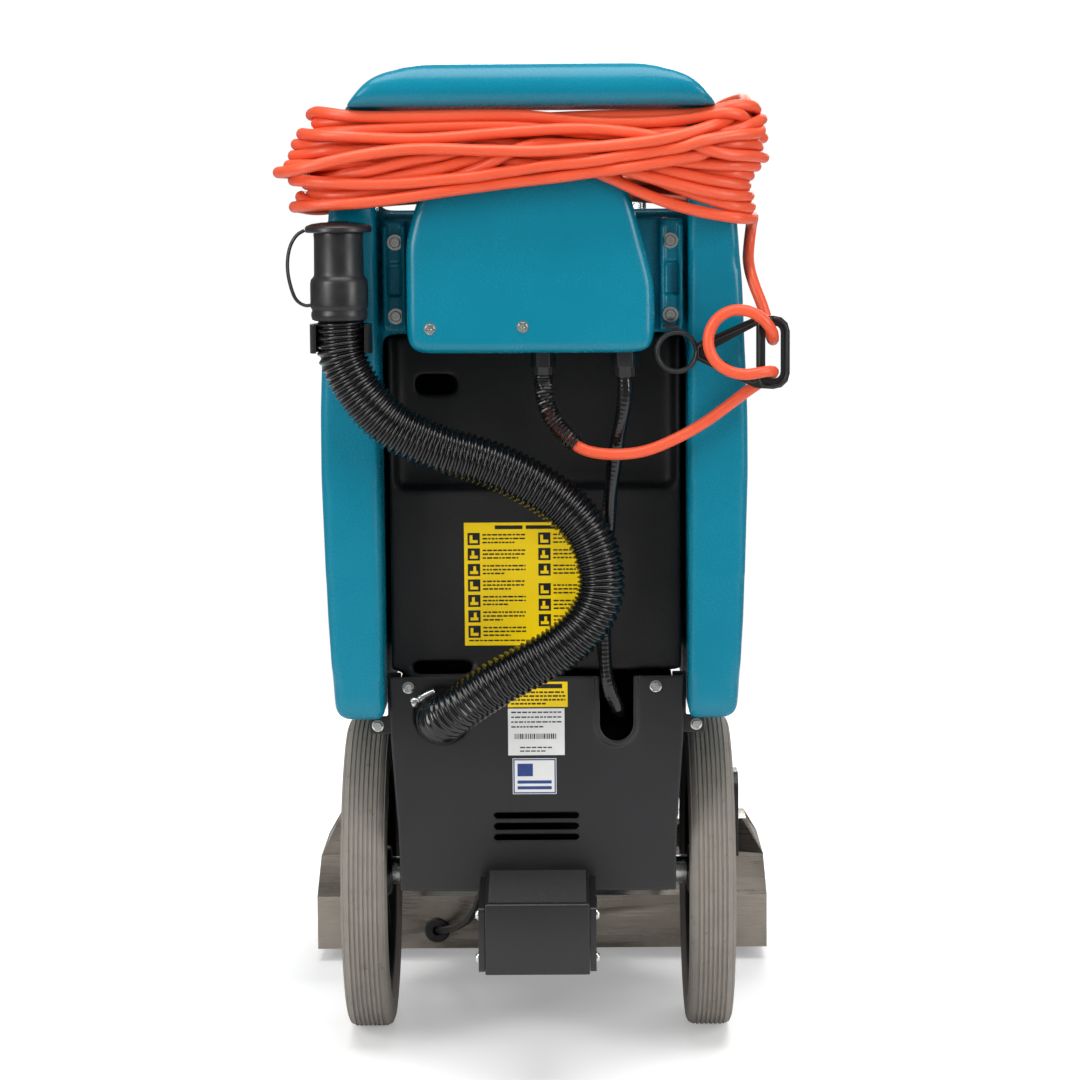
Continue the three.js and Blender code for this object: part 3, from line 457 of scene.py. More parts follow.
def tube_mesh(name, line, radius, sides=16, squeeze=(1, 1)):
    """A closed tube mesh along a line; radius is one number, one a point, or one a point and side."""
    first, second = frames_along(line)
    angles = np.linspace(0, 2 * math.pi, sides, endpoint=False)
    radii = np.broadcast_to(np.asarray(radius, float).reshape(-1, 1)
                            if np.ndim(radius) == 1 else radius, (len(line), sides))
    rings = (line[:, None, :]
             + (radii * np.cos(angles) * squeeze[0])[..., None] * first[:, None, :]
             + (radii * np.sin(angles) * squeeze[1])[..., None] * second[:, None, :])
    count = len(line)
    verts = rings.reshape(-1, 3)
    faces = []
    for i in range(count - 1):
        for k in range(sides):
            j = (k + 1) % sides
            faces.append((i * sides + k, i * sides + j, (i + 1) * sides + j, (i + 1) * sides + k))
    verts = np.vstack([verts, line[0], line[-1]])
    start, end = count * sides, count * sides + 1
    last = (count - 1) * sides
    for k in range(sides):
        j = (k + 1) % sides
        faces.append((start, j, k))
        faces.append((end, last + k, last + j))
    data = bpy.data.meshes.new(name)
    data.from_pydata(verts.tolist(), [], faces)
    data.update()
    return data


def join_meshes(name, parts):
    """Several meshes as one mesh; materials are kept by face."""
    whole = bmesh.new()
    materials = []
    for data, material in parts:
        if material not in materials:
            materials.append(material)
        before = len(whole.faces)
        whole.from_mesh(data)
        whole.faces.ensure_lookup_table()
        for face in whole.faces[before:]:
            face.material_index = materials.index(material)
        bpy.data.meshes.remove(data)
    result = bpy.data.meshes.new(name)
    whole.to_mesh(result)
    whole.free()
    for material in materials:
        result.materials.append(material)
    return result


AXES = {"x": Matrix(((0, 0, 1), (1, 0, 0), (0, 1, 0))),
        "y": Matrix(((1, 0, 0), (0, 0, 1), (0, -1, 0))),
        "z": Matrix.Identity(3)}


def turned(name, profile, along, centre, sides=48):
    """A lathe-turned mesh: (radius, height) points in millimetres, round an axis through a centre.

    A profile that starts and ends on the axis gives a solid; any other is closed into a ring."""
    closed = profile[0][0] > 0
    verts, faces, rows = [], [], []
    for r, h in profile:
        if r == 0:
            rows.append([len(verts)])
            verts.append(Vector((0, 0, h)))
            continue
        rows.append(range(len(verts), len(verts) + sides))
        for k in range(sides):
            angle = 2 * math.pi * k / sides
            verts.append(Vector((r * math.cos(angle), r * math.sin(angle), h)))
    pairs = list(zip(rows, rows[1:])) + ([(rows[-1], rows[0])] if closed else [])
    for a, b in pairs:
        for k in range(sides):
            j = (k + 1) % sides
            if len(a) == 1 and len(b) == 1:
                continue
            if len(a) == 1:
                faces.append((a[0], b[j], b[k]))
            elif len(b) == 1:
                faces.append((a[k], a[j], b[0]))
            else:
                faces.append((a[k], a[j], b[j], b[k]))
    matrix = AXES[along]
    data = bpy.data.meshes.new(name)
    data.from_pydata([tuple(matrix @ (v / 1000) + centre) for v in verts], [], faces)
    mesh = bmesh.new()
    mesh.from_mesh(data)
    bmesh.ops.recalc_face_normals(mesh, faces=mesh.faces)
    mesh.to_mesh(data)
    mesh.free()
    return data


# %% [markdown]
# The mains cord comes first, because its length settles everything else about it. Sixteen metres of
# 10.5 mm cord leave the console through a spring guard, sag to the right, are laced through the
# cast frame so that a tug never reaches the terminals, and climb to the handle. Sixteen turns lie
# round the two handle posts. Each turn is given as a few points: where it rounds each post,
# and how high it runs past the console.

# %% The cord's route to the handle
CORD_D = 0.0105
GUARD = places([[9, -208, 656.5], [9, -208, 648], [10, -211, 636], [14.5, -215, 622],
                [22, -217, 610]])
LEAD = places([
    [32.5, -218.1, 599.2], [38.5, -218.7, 593.2], [47, -219, 588.8], [59, -219, 586], [80, -219, 585],
    [102, -217, 588], [126, -214, 597], [150, -211.5, 609.5], [172, -210, 624.5], [190, -209.5, 638],
    [203, -210, 647], [212.5, -215, 654], [216.4, -224.5, 659], [213, -234, 660.5],
    [203, -239.2, 659.5], [190, -239.8, 658], [176, -238.5, 661], [164.5, -238, 669], [158, -238, 681.5],
    [158.5, -238, 696], [166, -238, 708.5], [180, -238, 715.5], [195, -238.8, 714], [207, -238.5, 706.5],
    [214.5, -233.5, 696.5], [216.5, -223.5, 689], [216.3, -211.5, 688], [214.5, -201.5, 694.5],
    [211.5, -197.5, 707], [207, -195.5, 721], [202, -192, 734], [198.5, -184.5, 746], [197.3, -173, 755],
    [197.5, -161, 762.5], [199, -151.5, 774], [200.5, -152.5, 787], [201.2, -163, 796]])
TAIL = places([[-75, -99.9, 816], [-30, -98, 809], [20, -93, 800], [66, -87, 792], [100, -84, 788],
               [115.7, -84, 787]])

# One row a turn: left end (x, z), right end (x, z), heights at REAR_X from right to left, layer.
REAR_X = (150, 100, 50, 0, -50, -100, -150)
TURNS = [
    ((-202, 851), (201, 798), (802, 818, 850, 860, 861, 856, 852), 0),
    ((-203, 843), (200, 807), (816, 838, 853, 858, 857, 850, 845), 0),
    ((-200, 838), (198, 817), (822, 842, 854, 855, 853, 846, 840), 1),
    ((-205, 828), (196, 827), (831, 846, 853, 852, 850, 840, 832), 1),
    ((-211, 819), (200, 836), (839, 850, 854, 853, 846, 834, 824), 0),
    ((-206, 821), (202, 845), (847, 854, 858, 856, 848, 836, 828), 1),
    ((-219, 856), (203, 860), (864, 868, 866, 863, 860, 858, 857), 0),
    ((-216, 866), (207, 869), (873, 873, 870, 869, 871, 870, 868), 0),
    ((-222, 848), (203, 853), (855, 856, 854, 852, 849, 844, 841), 1),
    ((-200, 876), (206, 880), (877, 870, 872, 883, 882, 880, 878), 1),
    ((-197, 886), (204, 890), (889, 889, 889, 886, 884, 887, 888), 0),
    ((-199, 889), (203, 884), (884, 882, 882, 888, 889, 889, 889), 1),
    ((-218, 834), (207, 873), (863, 855, 850, 845, 838, 832, 829), 2),
    ((-216, 812), (206, 865), (858, 847, 840, 833, 828, 820, 813), 2),
    ((-209, 874), (208, 856), (860, 872, 879, 877, 873, 868, 872), 2),
    ((-231, 841), (196, 904), (873, 865, 860, 857, 859, 863, 857), 3),
]
print(len(TURNS), "turns")

# %% [markdown]
# Between its rear runs the cord rounds the posts and returns in front of the handle. Rows given one
# by one always touch here and there, so the line is then settled as a real bundle settles: points
# that lie closer than a cord's thickness push each other apart, nothing may enter the posts, the
# hood, the handle bar or the cap's travel, and the line is kept smooth. Numpy does that in a few
# seconds.

# %% Lay and settle the turns
LAYER_Y = (-240.5, -249.5, -258.0, -263.5)
FRONT_SHARES = ((-172, 0.05), (-120, 0.2), (-40, 0.4), (40, 0.6), (120, 0.8), (166, 0.95))


def laid_turns():
    """Points of every turn, from the right side by the rear, the left and the front."""
    rows = []
    front = (-127.5, -119.0, -110.5)
    for k, (left, right, heights, layer) in enumerate(TURNS):
        rear, loose = LAYER_Y[layer], right[1] > 900
        x, z = right
        if loose:
            rows += [[170, -128, 896], [184, -142, 904], [194, -165, 908], [197, -190, 906],
                     [193, -215, 899], [182, -240, 888]]
        else:
            rows += [[x - 4, -150, z]] * (k > 0) + [[x, -175, z], [x + 1, -200, z], [x - 2, -222, z],
                     [x - 14, rear + 4, z]]
        rows += [[rx, rear, rz] for rx, rz in zip(REAR_X, heights)]
        x, z = left
        rows += [[x + 14, rear + 4, z], [x + 2, -222, z], [x - 1, -200, z], [x, -175, z],
                 [x + 4, -148, z]]
        after = TURNS[k + 1][1][1] if k + 1 < len(TURNS) else None
        y = front[k % 3]
        if after is None:
            rows += [[x + 22, -120, 838], [-165, -104, 831], [-120, -101, 823]]
            continue
        if after > 900:
            after = 885
        for fx, share in FRONT_SHARES:
            sag = 3 * math.sin(math.pi * share)
            rows.append([fx, y - (6 if abs(fx) > 150 else 0), z + (after - z) * share - sag])
    return places(rows)


def push_out(line, low, high, sides):
    """Moves points out of a box through the nearest of its allowed faces: (axis, sign) pairs."""
    inside = np.all((line > low) & (line < high), axis=1)
    if not inside.any():
        return
    rows = np.nonzero(inside)[0]
    depths = np.column_stack([(high[a] - line[rows, a]) if s > 0 else (line[rows, a] - low[a])
                              for a, s in sides])
    for row, best in zip(rows, depths.argmin(axis=1)):
        axis, sign = sides[best]
        line[row, axis] = high[axis] if sign > 0 else low[axis]


def settled(line, rounds=70):
    """The line after its turns have pushed each other a cord's thickness apart."""
    near, r = CORD_D * 1.01, CORD_D / 2 + 0.0004
    grow = np.array((r, r, r))
    blocks = [
        (place(-185, -228, 700), place(-139, -158, 960), [(0, -1), (1, -1), (1, 1)]),
        (place(139, -228, 700), place(185, -158, 960), [(0, 1), (1, -1), (1, 1)]),
        (place(-94, -232, 670), place(84, -186, 846), [(1, -1), (2, 1)]),
        (place(-54, -229, 846), place(52, -190, 850), [(1, -1), (2, 1)]),
        (place(-150, -268, 896), place(150, -190, 940), [(2, -1)]),
        (place(-206, -271, 770), place(-140, -205, 804), [(2, 1)]),
    ]
    blocks = [(np.array(low) - grow, np.array(high) + grow, sides) for low, high, sides in blocks]
    start, count = line.copy(), len(line)
    skip = int(CORD_D * 3 / 0.009) + 2
    apart = np.abs(np.subtract.outer(np.arange(count), np.arange(count))) > skip
    for _ in range(rounds):
        gap = line[:, None, :] - line[None, :, :]
        distance = np.sqrt((gap ** 2).sum(axis=2)) + 1e-9
        push = np.where(apart & (distance < near), (near - distance) / distance * 0.5, 0.0)
        line = line + 0.6 * (push[..., None] * gap).sum(axis=1)
        line[1:-1] += 0.12 * (line[:-2] + line[2:] - 2 * line[1:-1])
        line += 0.012 * (start - line)
        for low, high, sides in blocks:
            push_out(line, low, high, sides)
        line[0], line[-1] = start[0], start[-1]
    return line


turns_line = settled(smooth_line(laid_turns(), 0.009))
line = smooth_line(np.vstack([GUARD, LEAD[:-1], turns_line[1:-1][::2], TAIL]), 0.0045)

curve = bpy.data.curves.new("mains_cord", "CURVE")
curve.dimensions = "3D"
curve.bevel_depth = CORD_D / 2
curve.bevel_resolution = 4
curve.use_fill_caps = True
spline = curve.splines.new("POLY")
spline.points.add(len(line) - 1)
spline.points.foreach_set("co", np.column_stack([line, np.ones(len(line))]).ravel())
spline.use_smooth = True
curve.materials.append(cord_jacket)
mains_cord = bpy.data.objects.new("mains_cord", curve)
bpy.context.scene.collection.objects.link(mains_cord)
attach(mains_cord, "frame")
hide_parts("cord_lead", "cord_tail", "cord_bundle")

# %% [markdown]
# The guard is a spring wound from black wire, tight at the gland and a little open at its tip. A
# helix on the cord's own line gives it, so it bends exactly as the cord bends. The plug is a
# moulded body with a ribbed grip and two blades, and it lies on the tank's deck.

# %% Spring guard and plug
guard_line = smooth_line(np.vstack([GUARD, LEAD[:2]]), 0.0006)
first, second = frames_along(guard_line)
run = np.linspace(0, length_of(guard_line), len(guard_line))
SPRING_TURNS, WIRE = 22, 0.00155
share = run / run[-1]
angle = 2 * math.pi * SPRING_TURNS * (1.13 * share - 0.13 * share ** 2)
around = (0.0079 - 0.0007 * share)[:, None]
helix = guard_line + around * (np.cos(angle)[:, None] * first + np.sin(angle)[:, None] * second)
helix = even_line(helix, 0.0012)
spring = tube_mesh("spring_guard", helix, WIRE, sides=8)
spring_guard = finish_piece("spring_guard", spring, black_plastic, "frame",
                            ("strain_relief",))

PLUG_AT = place(0, -84, 787)
plug_profile = [(0, 116), (5.5, 116), (6.4, 118), (7.2, 126), (8.0, 133)]
for rib in range(5):
    at = 136 + rib * 4.2
    plug_profile += [(13.5, at - 1.6), (14.6, at - 0.6), (14.6, at + 0.8), (13.4, at + 1.4)]
plug_profile += [(15.0, 158), (16.6, 161), (17.0, 168), (16.2, 171), (14, 172), (0, 172)]
plug_parts = [(turned("plug body", plug_profile, "x", PLUG_AT, 40), cord_jacket)]
for y in (-87.5, -80.5):
    blade = bmesh.new()
    add_box(blade, place(171, y - 0.8, 782), place(188, y + 0.8, 792))
    bmesh.ops.bevel(blade, geom=list(blade.edges), offset=0.0006, segments=2, affect="EDGES")
    plug_parts.append((as_mesh("blade", blade), zinc))
plug = finish_piece("mains_plug", join_meshes("mains_plug", plug_parts), cord_jacket, "frame",
                    ("power_plug",))

# %% [markdown]
# The drain hose is 44 mm vinyl, corrugated so that it bends without kinking. Its wall is one helix,
# which a tube shows well when each ring's radius follows a sine wave that moves round as it goes
# along. It leaves the tank's outlet under a worm clamp, swings out to the right, and climbs to its
# cuff at the top left.

# %% Drain hose
HOSE_D, RIB_PITCH = 0.044, 0.0058
HOSE = places([
    [-88, -168.5, 335], [-88, -178, 335], [-84, -191, 339], [-69, -203, 351], [-41, -211, 371],
    [-8, -216, 390], [24, -220, 409], [47, -222, 431], [59, -222, 456], [59, -220, 483],
    [47.5, -218, 515], [25, -217, 540], [-7, -219, 561.5], [-43, -223, 578.5], [-88, -228, 593],
    [-128, -233, 614], [-154, -237, 642], [-170, -238, 673.5], [-172.6, -238, 690],
    [-173, -238, 701], [-173, -238, 711.5]])
hose_line = smooth_line(HOSE, RIB_PITCH / 7)
hose_length = length_of(hose_line)
SIDES = 40
run = np.linspace(0, hose_length, len(hose_line))
wave = np.cos(2 * math.pi * (run[:, None] / RIB_PITCH - np.arange(SIDES)[None, :] / SIDES))
radii = HOSE_D / 2 - 0.0014 + 0.0014 * np.sign(wave) * np.abs(wave) ** 0.7
hose = finish_piece("drain_hose_corrugated", tube_mesh("hose", hose_line, radii, SIDES),
                    hose_vinyl, "frame", ("drain_hose",), smooth=80)
print("hose", round(hose_length, 3), "m")

# %% [markdown]
# The cuff is a turned shape: a collar, a straight sleeve and a soft lip. The cap is a disc with a
# raised pull, held by a strap that loops out to the left. The clamp is a thin steel band with its
# screw across it.

# %% Cuff, cap, strap and clamp
CUFF_AT = place(-173, -238, 0)
cuff_profile = [
    (0, 709), (22.5, 709), (24.6, 710), (25.4, 713), (25.4, 716), (24.6, 717.5), (24.6, 719), (25.8, 721),
    (26.0, 724), (26.0, 742), (25.4, 745.5), (23.6, 747.6), (22.6, 749), (22.3, 752), (22.2, 764),
    (22.0, 782), (22.4, 785), (22.2, 787), (17.2, 787), (17, 764), (0, 764)]
cuff = finish_piece("hose_cuff_moulded", turned("cuff", cuff_profile, "z", CUFF_AT, 64), cuff_rubber,
                    "frame", ("hose_cuff",), smooth=45)
cap_profile = [
    (0, 766), (15.4, 766), (16.5, 767), (16.5, 787.4), (28.6, 787.4), (30, 788.6), (30, 791.6),
    (28.8, 793.4), (24, 795.2), (16, 796.4), (14.8, 796.0), (13.8, 794.4), (12, 794.2), (10.6, 796.4),
    (9, 797.4), (0, 797.6)]
cap = finish_piece("hose_cap_moulded", turned("cap", cap_profile, "z", CUFF_AT, 64), cuff_rubber,
                   "cap", ("hose_cap",), smooth=45)
strap_line = smooth_line(places([
    [-197.5, -238, 723], [-203, -238, 722.5], [-211, -238, 727], [-217, -238, 742], [-219, -238, 760],
    [-216, -238, 776], [-210, -238, 785.5], [-203.4, -238, 789.6]]), 0.002)
strap = finish_piece("cap_strap_moulded", tube_mesh("strap", strap_line, 0.0026, 14, (1, 0.62)),
                     cuff_rubber, "frame", ("cap_strap",))

CLAMP_AT = place(-88, -174, 335)
band_profile = [(22.3, -4.5), (23.2, -4.5), (23.5, -4.1), (23.2, -3.7), (23.2, 3.7), (23.5, 4.1),
                (23.2, 4.5), (22.3, 4.5)]
screw_parts = [(turned("band", band_profile, "y", CLAMP_AT, 64), powder_coat)]
SCREW_AT = place(-102, -176, 357)
barrel = [(0, -9), (3.6, -9), (4.4, -8), (4.4, 7), (3.4, 8), (3.4, 9.5), (5.0, 9.8), (5.4, 10.6),
          (5.4, 14.5), (4.6, 15.4), (0, 15.4)]
screw = turned("worm", barrel, "x", Vector((0, 0, 0)), 24)
screw.transform(Matrix.Translation(SCREW_AT) @ Matrix.Rotation(math.radians(153), 4, "Y"))
screw_parts.append((screw, zinc))
hose_clamp = finish_piece("worm_clamp", join_meshes("worm_clamp", screw_parts), zinc, "frame",
                          ("hose_clamp",))

# %% [markdown]
# The loom carries the switch wires down to the motors in a braided sleeve. Its relief is a shallow
# diamond pattern: two waves that run round it in opposite directions.

# %% Wire loom and brush cable
LOOM_D = 0.014
LOOM = places([[83, -208, 654.5], [83, -208, 640], [80.5, -204, 620], [75.5, -197, 592],
               [69, -186, 539], [65.5, -174, 480], [63.2, -163, 425], [64, -160, 387],
               [69, -158, 358], [75, -148, 340], [77, -128, 330]])
loom_line = smooth_line(LOOM, 0.0016)
loom_length = length_of(loom_line)
run = np.linspace(0, loom_length, len(loom_line))[:, None]
angles = np.linspace(0, 2 * math.pi, 24, endpoint=False)[None, :]
twist = 2 * math.pi * run / 0.12
lobes = np.cos(angles - twist) ** 2
braid = 0.0004 * np.cos(2 * math.pi * run / 0.0085 + 4 * angles) * np.cos(
    2 * math.pi * run / 0.0085 - 4 * angles)
loom_radii = LOOM_D / 2 * (0.88 + 0.1 * lobes) + braid
loom = finish_piece("braided_loom", tube_mesh("loom", loom_line, loom_radii, 24), hose_vinyl,
                    "frame", ("wire_loom",), smooth=60)

BRUSH_CABLE_D = 0.008
brush_cable_line = smooth_line(places([
    [-60, 96, 119], [-61, 104, 108], [-64, 122, 94], [-70, 146, 76], [-78, 172, 60], [-88, 197, 48],
    [-98, 216, 40], [-106, 228, 36], [-111, 237, 34.2], [-112, 246, 34]]), 0.003)
brush_cable = tube_mesh("brush_cable", brush_cable_line, BRUSH_CABLE_D / 2, 16)
brush_cable.materials.append(cuff_rubber)
brush_cable.polygons.foreach_set("use_smooth", [True] * len(brush_cable.polygons))
brush_cable = bpy.data.objects.new("brush_cable", brush_cable)
bpy.context.scene.collection.objects.link(brush_cable)
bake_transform(brush_cable)
print("loom", round(loom_length, 3), "m, brush cable", round(length_of(brush_cable_line), 3), "m")

# %% [markdown]
# The tank is one rotomoulded shell, so it has no sharp edge anywhere. A voxel remesh turns the
# plain solid into an even skin, and rounds of smoothing melt its edges to the soft radius of a
# moulding. The filling hole gets a short well below it; the sealed space round the well is never
# seen, so its skin is dropped.

# %% Moulded skins


def without_inner_skins(data):
    """Keeps only the largest of a mesh's separate skins."""
    mesh = bmesh.new()
    mesh.from_mesh(data)
    mesh.verts.ensure_lookup_table()
    seen, groups = set(), []
    for start in mesh.verts:
        if start.index in seen:
            continue
        seen.add(start.index)
        stack, group = [start], [start]
        while stack:
            for edge in stack.pop().link_edges:
                for v in edge.verts:
                    if v.index not in seen:
                        seen.add(v.index)
                        stack.append(v)
                        group.append(v)
        groups.append(group)
    groups.sort(key=len, reverse=True)
    bmesh.ops.delete(mesh, geom=[v for group in groups[1:] for v in group], context="VERTS")
    mesh.to_mesh(data)
    mesh.free()
    return data


def moulded(mesh, voxel_mm, rounds):
    """A closed bmesh as an even skin with softened edges."""
    modifiers = [("REMESH", {"mode": "VOXEL", "voxel_size": voxel_mm / 1000})]
    modifiers += [("SMOOTH", {"factor": 0.5, "iterations": min(30, rounds - done)})
                  for done in range(0, rounds, 30)]
    return evaluated(mesh, modifiers)


tank = merged("solution_tank")
for low, high in (((-86, -46, 695), (-80, 91, 764)), ((80, -46, 695), (86, 91, 764)),
                  ((-86, -46, 695), (86, -40, 764)), ((-86, 85, 695), (86, 91, 764))):
    add_box(tank, place(*low), place(*high))
tank = without_inner_skins(moulded(tank, 4.2, 16))
print("tank", len(tank.polygons), "faces")
finish_piece("moulded_tank", tank, teal, "frame", ("solution_tank",), 70)

drum = moulded(merged("recovery_tank"), 4.0, 7)
print("recovery tank", len(drum.polygons), "faces")
finish_piece("sandy_recovery_tank", drum, black_tank, "frame", ("recovery_tank",), 70)

# %% [markdown]
# The console hood is a thicker moulding with a broad round edge. Its outline is drawn with rounded
# corners, drawn out deeper than it is, softened, and then cut flat where it meets the bracket. A
# pocket under the switch plate leaves room for the rockers.

# %% Console hood


def rounded_outline(corners, steps=6):
    """Points of a closed outline whose corners are (u, v, radius)."""
    points = []
    for i, (u, v, r) in enumerate(corners):
        here = np.array((u, v), float)
        before = np.array(corners[i - 1][:2], float) - here
        after = np.array(corners[(i + 1) % len(corners)][:2], float) - here
        before /= np.linalg.norm(before)
        after /= np.linalg.norm(after)
        half = math.acos(max(-1, min(1, before @ after))) / 2
        middle = here + (before + after) / np.linalg.norm(before + after) * r / math.sin(half)
        reach = r / math.tan(half)
        start, end = here + before * reach - middle, here + after * reach - middle
        first = math.atan2(start[1], start[0])
        swing = math.atan2(end[1], end[0]) - first
        swing = math.atan2(math.sin(swing), math.cos(swing))
        points += [tuple(middle + r * np.array((math.cos(first + swing * k / steps),
                                                math.sin(first + swing * k / steps))))
                   for k in range(steps + 1)]
    return points


def slab(outline, y0, y1):
    """A closed bmesh: an (x, z) outline drawn out between two y places, all in millimetres."""
    mesh = bmesh.new()
    near = [mesh.verts.new(place(x, y0, z)) for x, z in outline]
    far = [mesh.verts.new(place(x, y1, z)) for x, z in outline]
    count = len(outline)
    mesh.faces.new(near)
    mesh.faces.new(far[::-1])
    for k in range(count):
        j = (k + 1) % count
        mesh.faces.new((near[k], far[k], far[j], near[j]))
    bmesh.ops.recalc_face_normals(mesh, faces=mesh.faces)
    return mesh


HOOD = [(-114, 677, 14), (110, 677, 14), (110, 738, 70), (81, 847, 26), (-66, 847, 34), (-101, 824, 40),
        (-114, 778, 70)]
hood = moulded(slab(rounded_outline(HOOD), -233, -150), 2.4, 110)
mesh = bmesh.new()
mesh.from_mesh(hood)
bmesh.ops.bisect_plane(mesh, geom=list(mesh.verts) + list(mesh.edges) + list(mesh.faces),
                       plane_co=place(0, -186.5, 0), plane_no=(0, 1, 0), clear_outer=True)
bmesh.ops.holes_fill(mesh, edges=[e for e in mesh.edges if e.is_boundary])
pocket = bmesh.new()
add_box(pocket, place(-51, -225, 830), place(49, -193, 870))
pocket_object = bpy.data.objects.new("pocket", as_mesh("pocket", pocket))
bpy.context.scene.collection.objects.link(pocket_object)
hood = evaluated(mesh, [("BOOLEAN", {"operation": "DIFFERENCE", "object": pocket_object,
                                     "solver": "EXACT"})])
bpy.data.objects.remove(pocket_object)
print("hood", len(hood.polygons), "faces")
finish_piece("console_hood", hood, teal_hood, "frame", ("console_cover",), 50)
bracket = merged("console_bracket")
bmesh.ops.dissolve_limit(bracket, angle_limit=math.radians(1), verts=bracket.verts, edges=bracket.edges)
for x in (-126, 126):
    for z0, z1 in ((696, 728), (758, 797)):
        add_box(bracket, place(x - 11, -190.5, z0), place(x + 11, -180, z1))
    for rib in (-8.5, 8.5):
        add_box(bracket, place(x + rib - 2, -193, 700), place(x + rib + 2, -184, 792))
bracket = evaluated(bracket, [("REMESH", {"mode": "VOXEL", "voxel_size": 0.0014}),
                              ("SMOOTH", {"factor": 0.5, "iterations": 6})])
print("bracket", len(bracket.polygons), "faces")
finish_piece("ribbed_bracket", bracket, teal_hood, "frame", ("console_bracket",), 60)

# %% [markdown]
# The wheels are solid grey rubber on a dark moulded rim. A turned section gives the tyre its
# grooved tread, round shoulders and the thin rings on its wall. Eight ribs stiffen the rim.

# %% Wheels


WHEEL_X = 0.1653
RIM_RIBS = 8


def tyre_section():
    """The tyre's section, (radius, height) from one bead over the tread to the other."""
    half = [(118, -17.5), (119.5, -19.2), (124, -20.2), (125, -21.3), (126.5, -21.3), (127.5, -20.5),
            (134, -21.6), (140, -22.2), (145, -21.7), (148.6, -20.2), (149.6, -19.6), (149.4, -18.9),
            (150.3, -18.2), (151.5, -15.4)]
    grooves = []
    for h in (-13.2, -8.8, -4.4, 0.0):
        grooves += [(152.0, h - 1.1), (150.9, h - 0.7), (150.9, h + 0.7), (152.0, h + 1.1)]
    grooves = grooves[:-1] + [(152.1, 1.1)]
    left = half + grooves[:-2]
    right = [(r, -h) for r, h in reversed(left)]
    return left + right


for side, label in ((-1, "left"), (1, "right")):
    at = Vector((side * WHEEL_X, AXLE_Y, AXLE_Z))
    body = f"wheel_{label}"
    tyre = turned("tyre", tyre_section(), "x", at, 160)
    finish_piece(f"ribbed_tyre_{label}", tyre, tyre_rubber, body, (f"tyre_{label}",), 50)
    disc = [(9.7, -19), (20, -19), (23, -18), (24.5, -15), (25.5, -8), (28, -6.4), (104, -6), (110, -8),
            (114, -16), (117.2, -17.4), (117.6, -16.5), (117.6, 16.5), (117.2, 17.4), (114, 16), (110, 8),
            (104, 6), (28, 6.4), (25.5, 8), (24.5, 15), (23, 18), (20, 19), (9.7, 19)]
    parts = [(turned("disc", disc, "x", at, 96), black_plastic)]
    rib_mesh = bmesh.new()
    for k in range(RIM_RIBS):
        made = bmesh.ops.create_cube(rib_mesh, size=1)["verts"]
        bmesh.ops.scale(rib_mesh, vec=(0.026, 0.006, 0.086), verts=made)
        bmesh.ops.translate(rib_mesh, vec=(0, 0, 0.067), verts=made)
        turn = Matrix.Rotation(2 * math.pi * k / RIM_RIBS, 3, "X")
        bmesh.ops.rotate(rib_mesh, cent=(0, 0, 0), matrix=turn, verts=made)
        bmesh.ops.translate(rib_mesh, vec=at, verts=made)
    bmesh.ops.bevel(rib_mesh, geom=list(rib_mesh.edges), offset=0.0012, segments=2, affect="EDGES")
    parts.append((as_mesh("ribs", rib_mesh), black_plastic))
    finish_piece(f"ribbed_rim_{label}", join_meshes("rim", parts), black_plastic, body,
                 (f"rim_{label}",), 40)
    cap_side = [(0, 19.4), (22.6, 19.4), (23.8, 19.8), (23.8, 20.4), (20, 21.2), (12, 21.6), (0, 21.8)]
    hub = turned("hub", [(r, side * h) for r, h in cap_side], "x", at, 48)
    finish_piece(f"hub_disc_{label}", hub, zinc, body, (f"hub_cap_{label}",), 40)

# %% [markdown]
# Sheet steel and small mouldings keep the shape of the CAD solid. A narrow bevel on each sharp
# edge catches the light as a folded or deburred edge does.

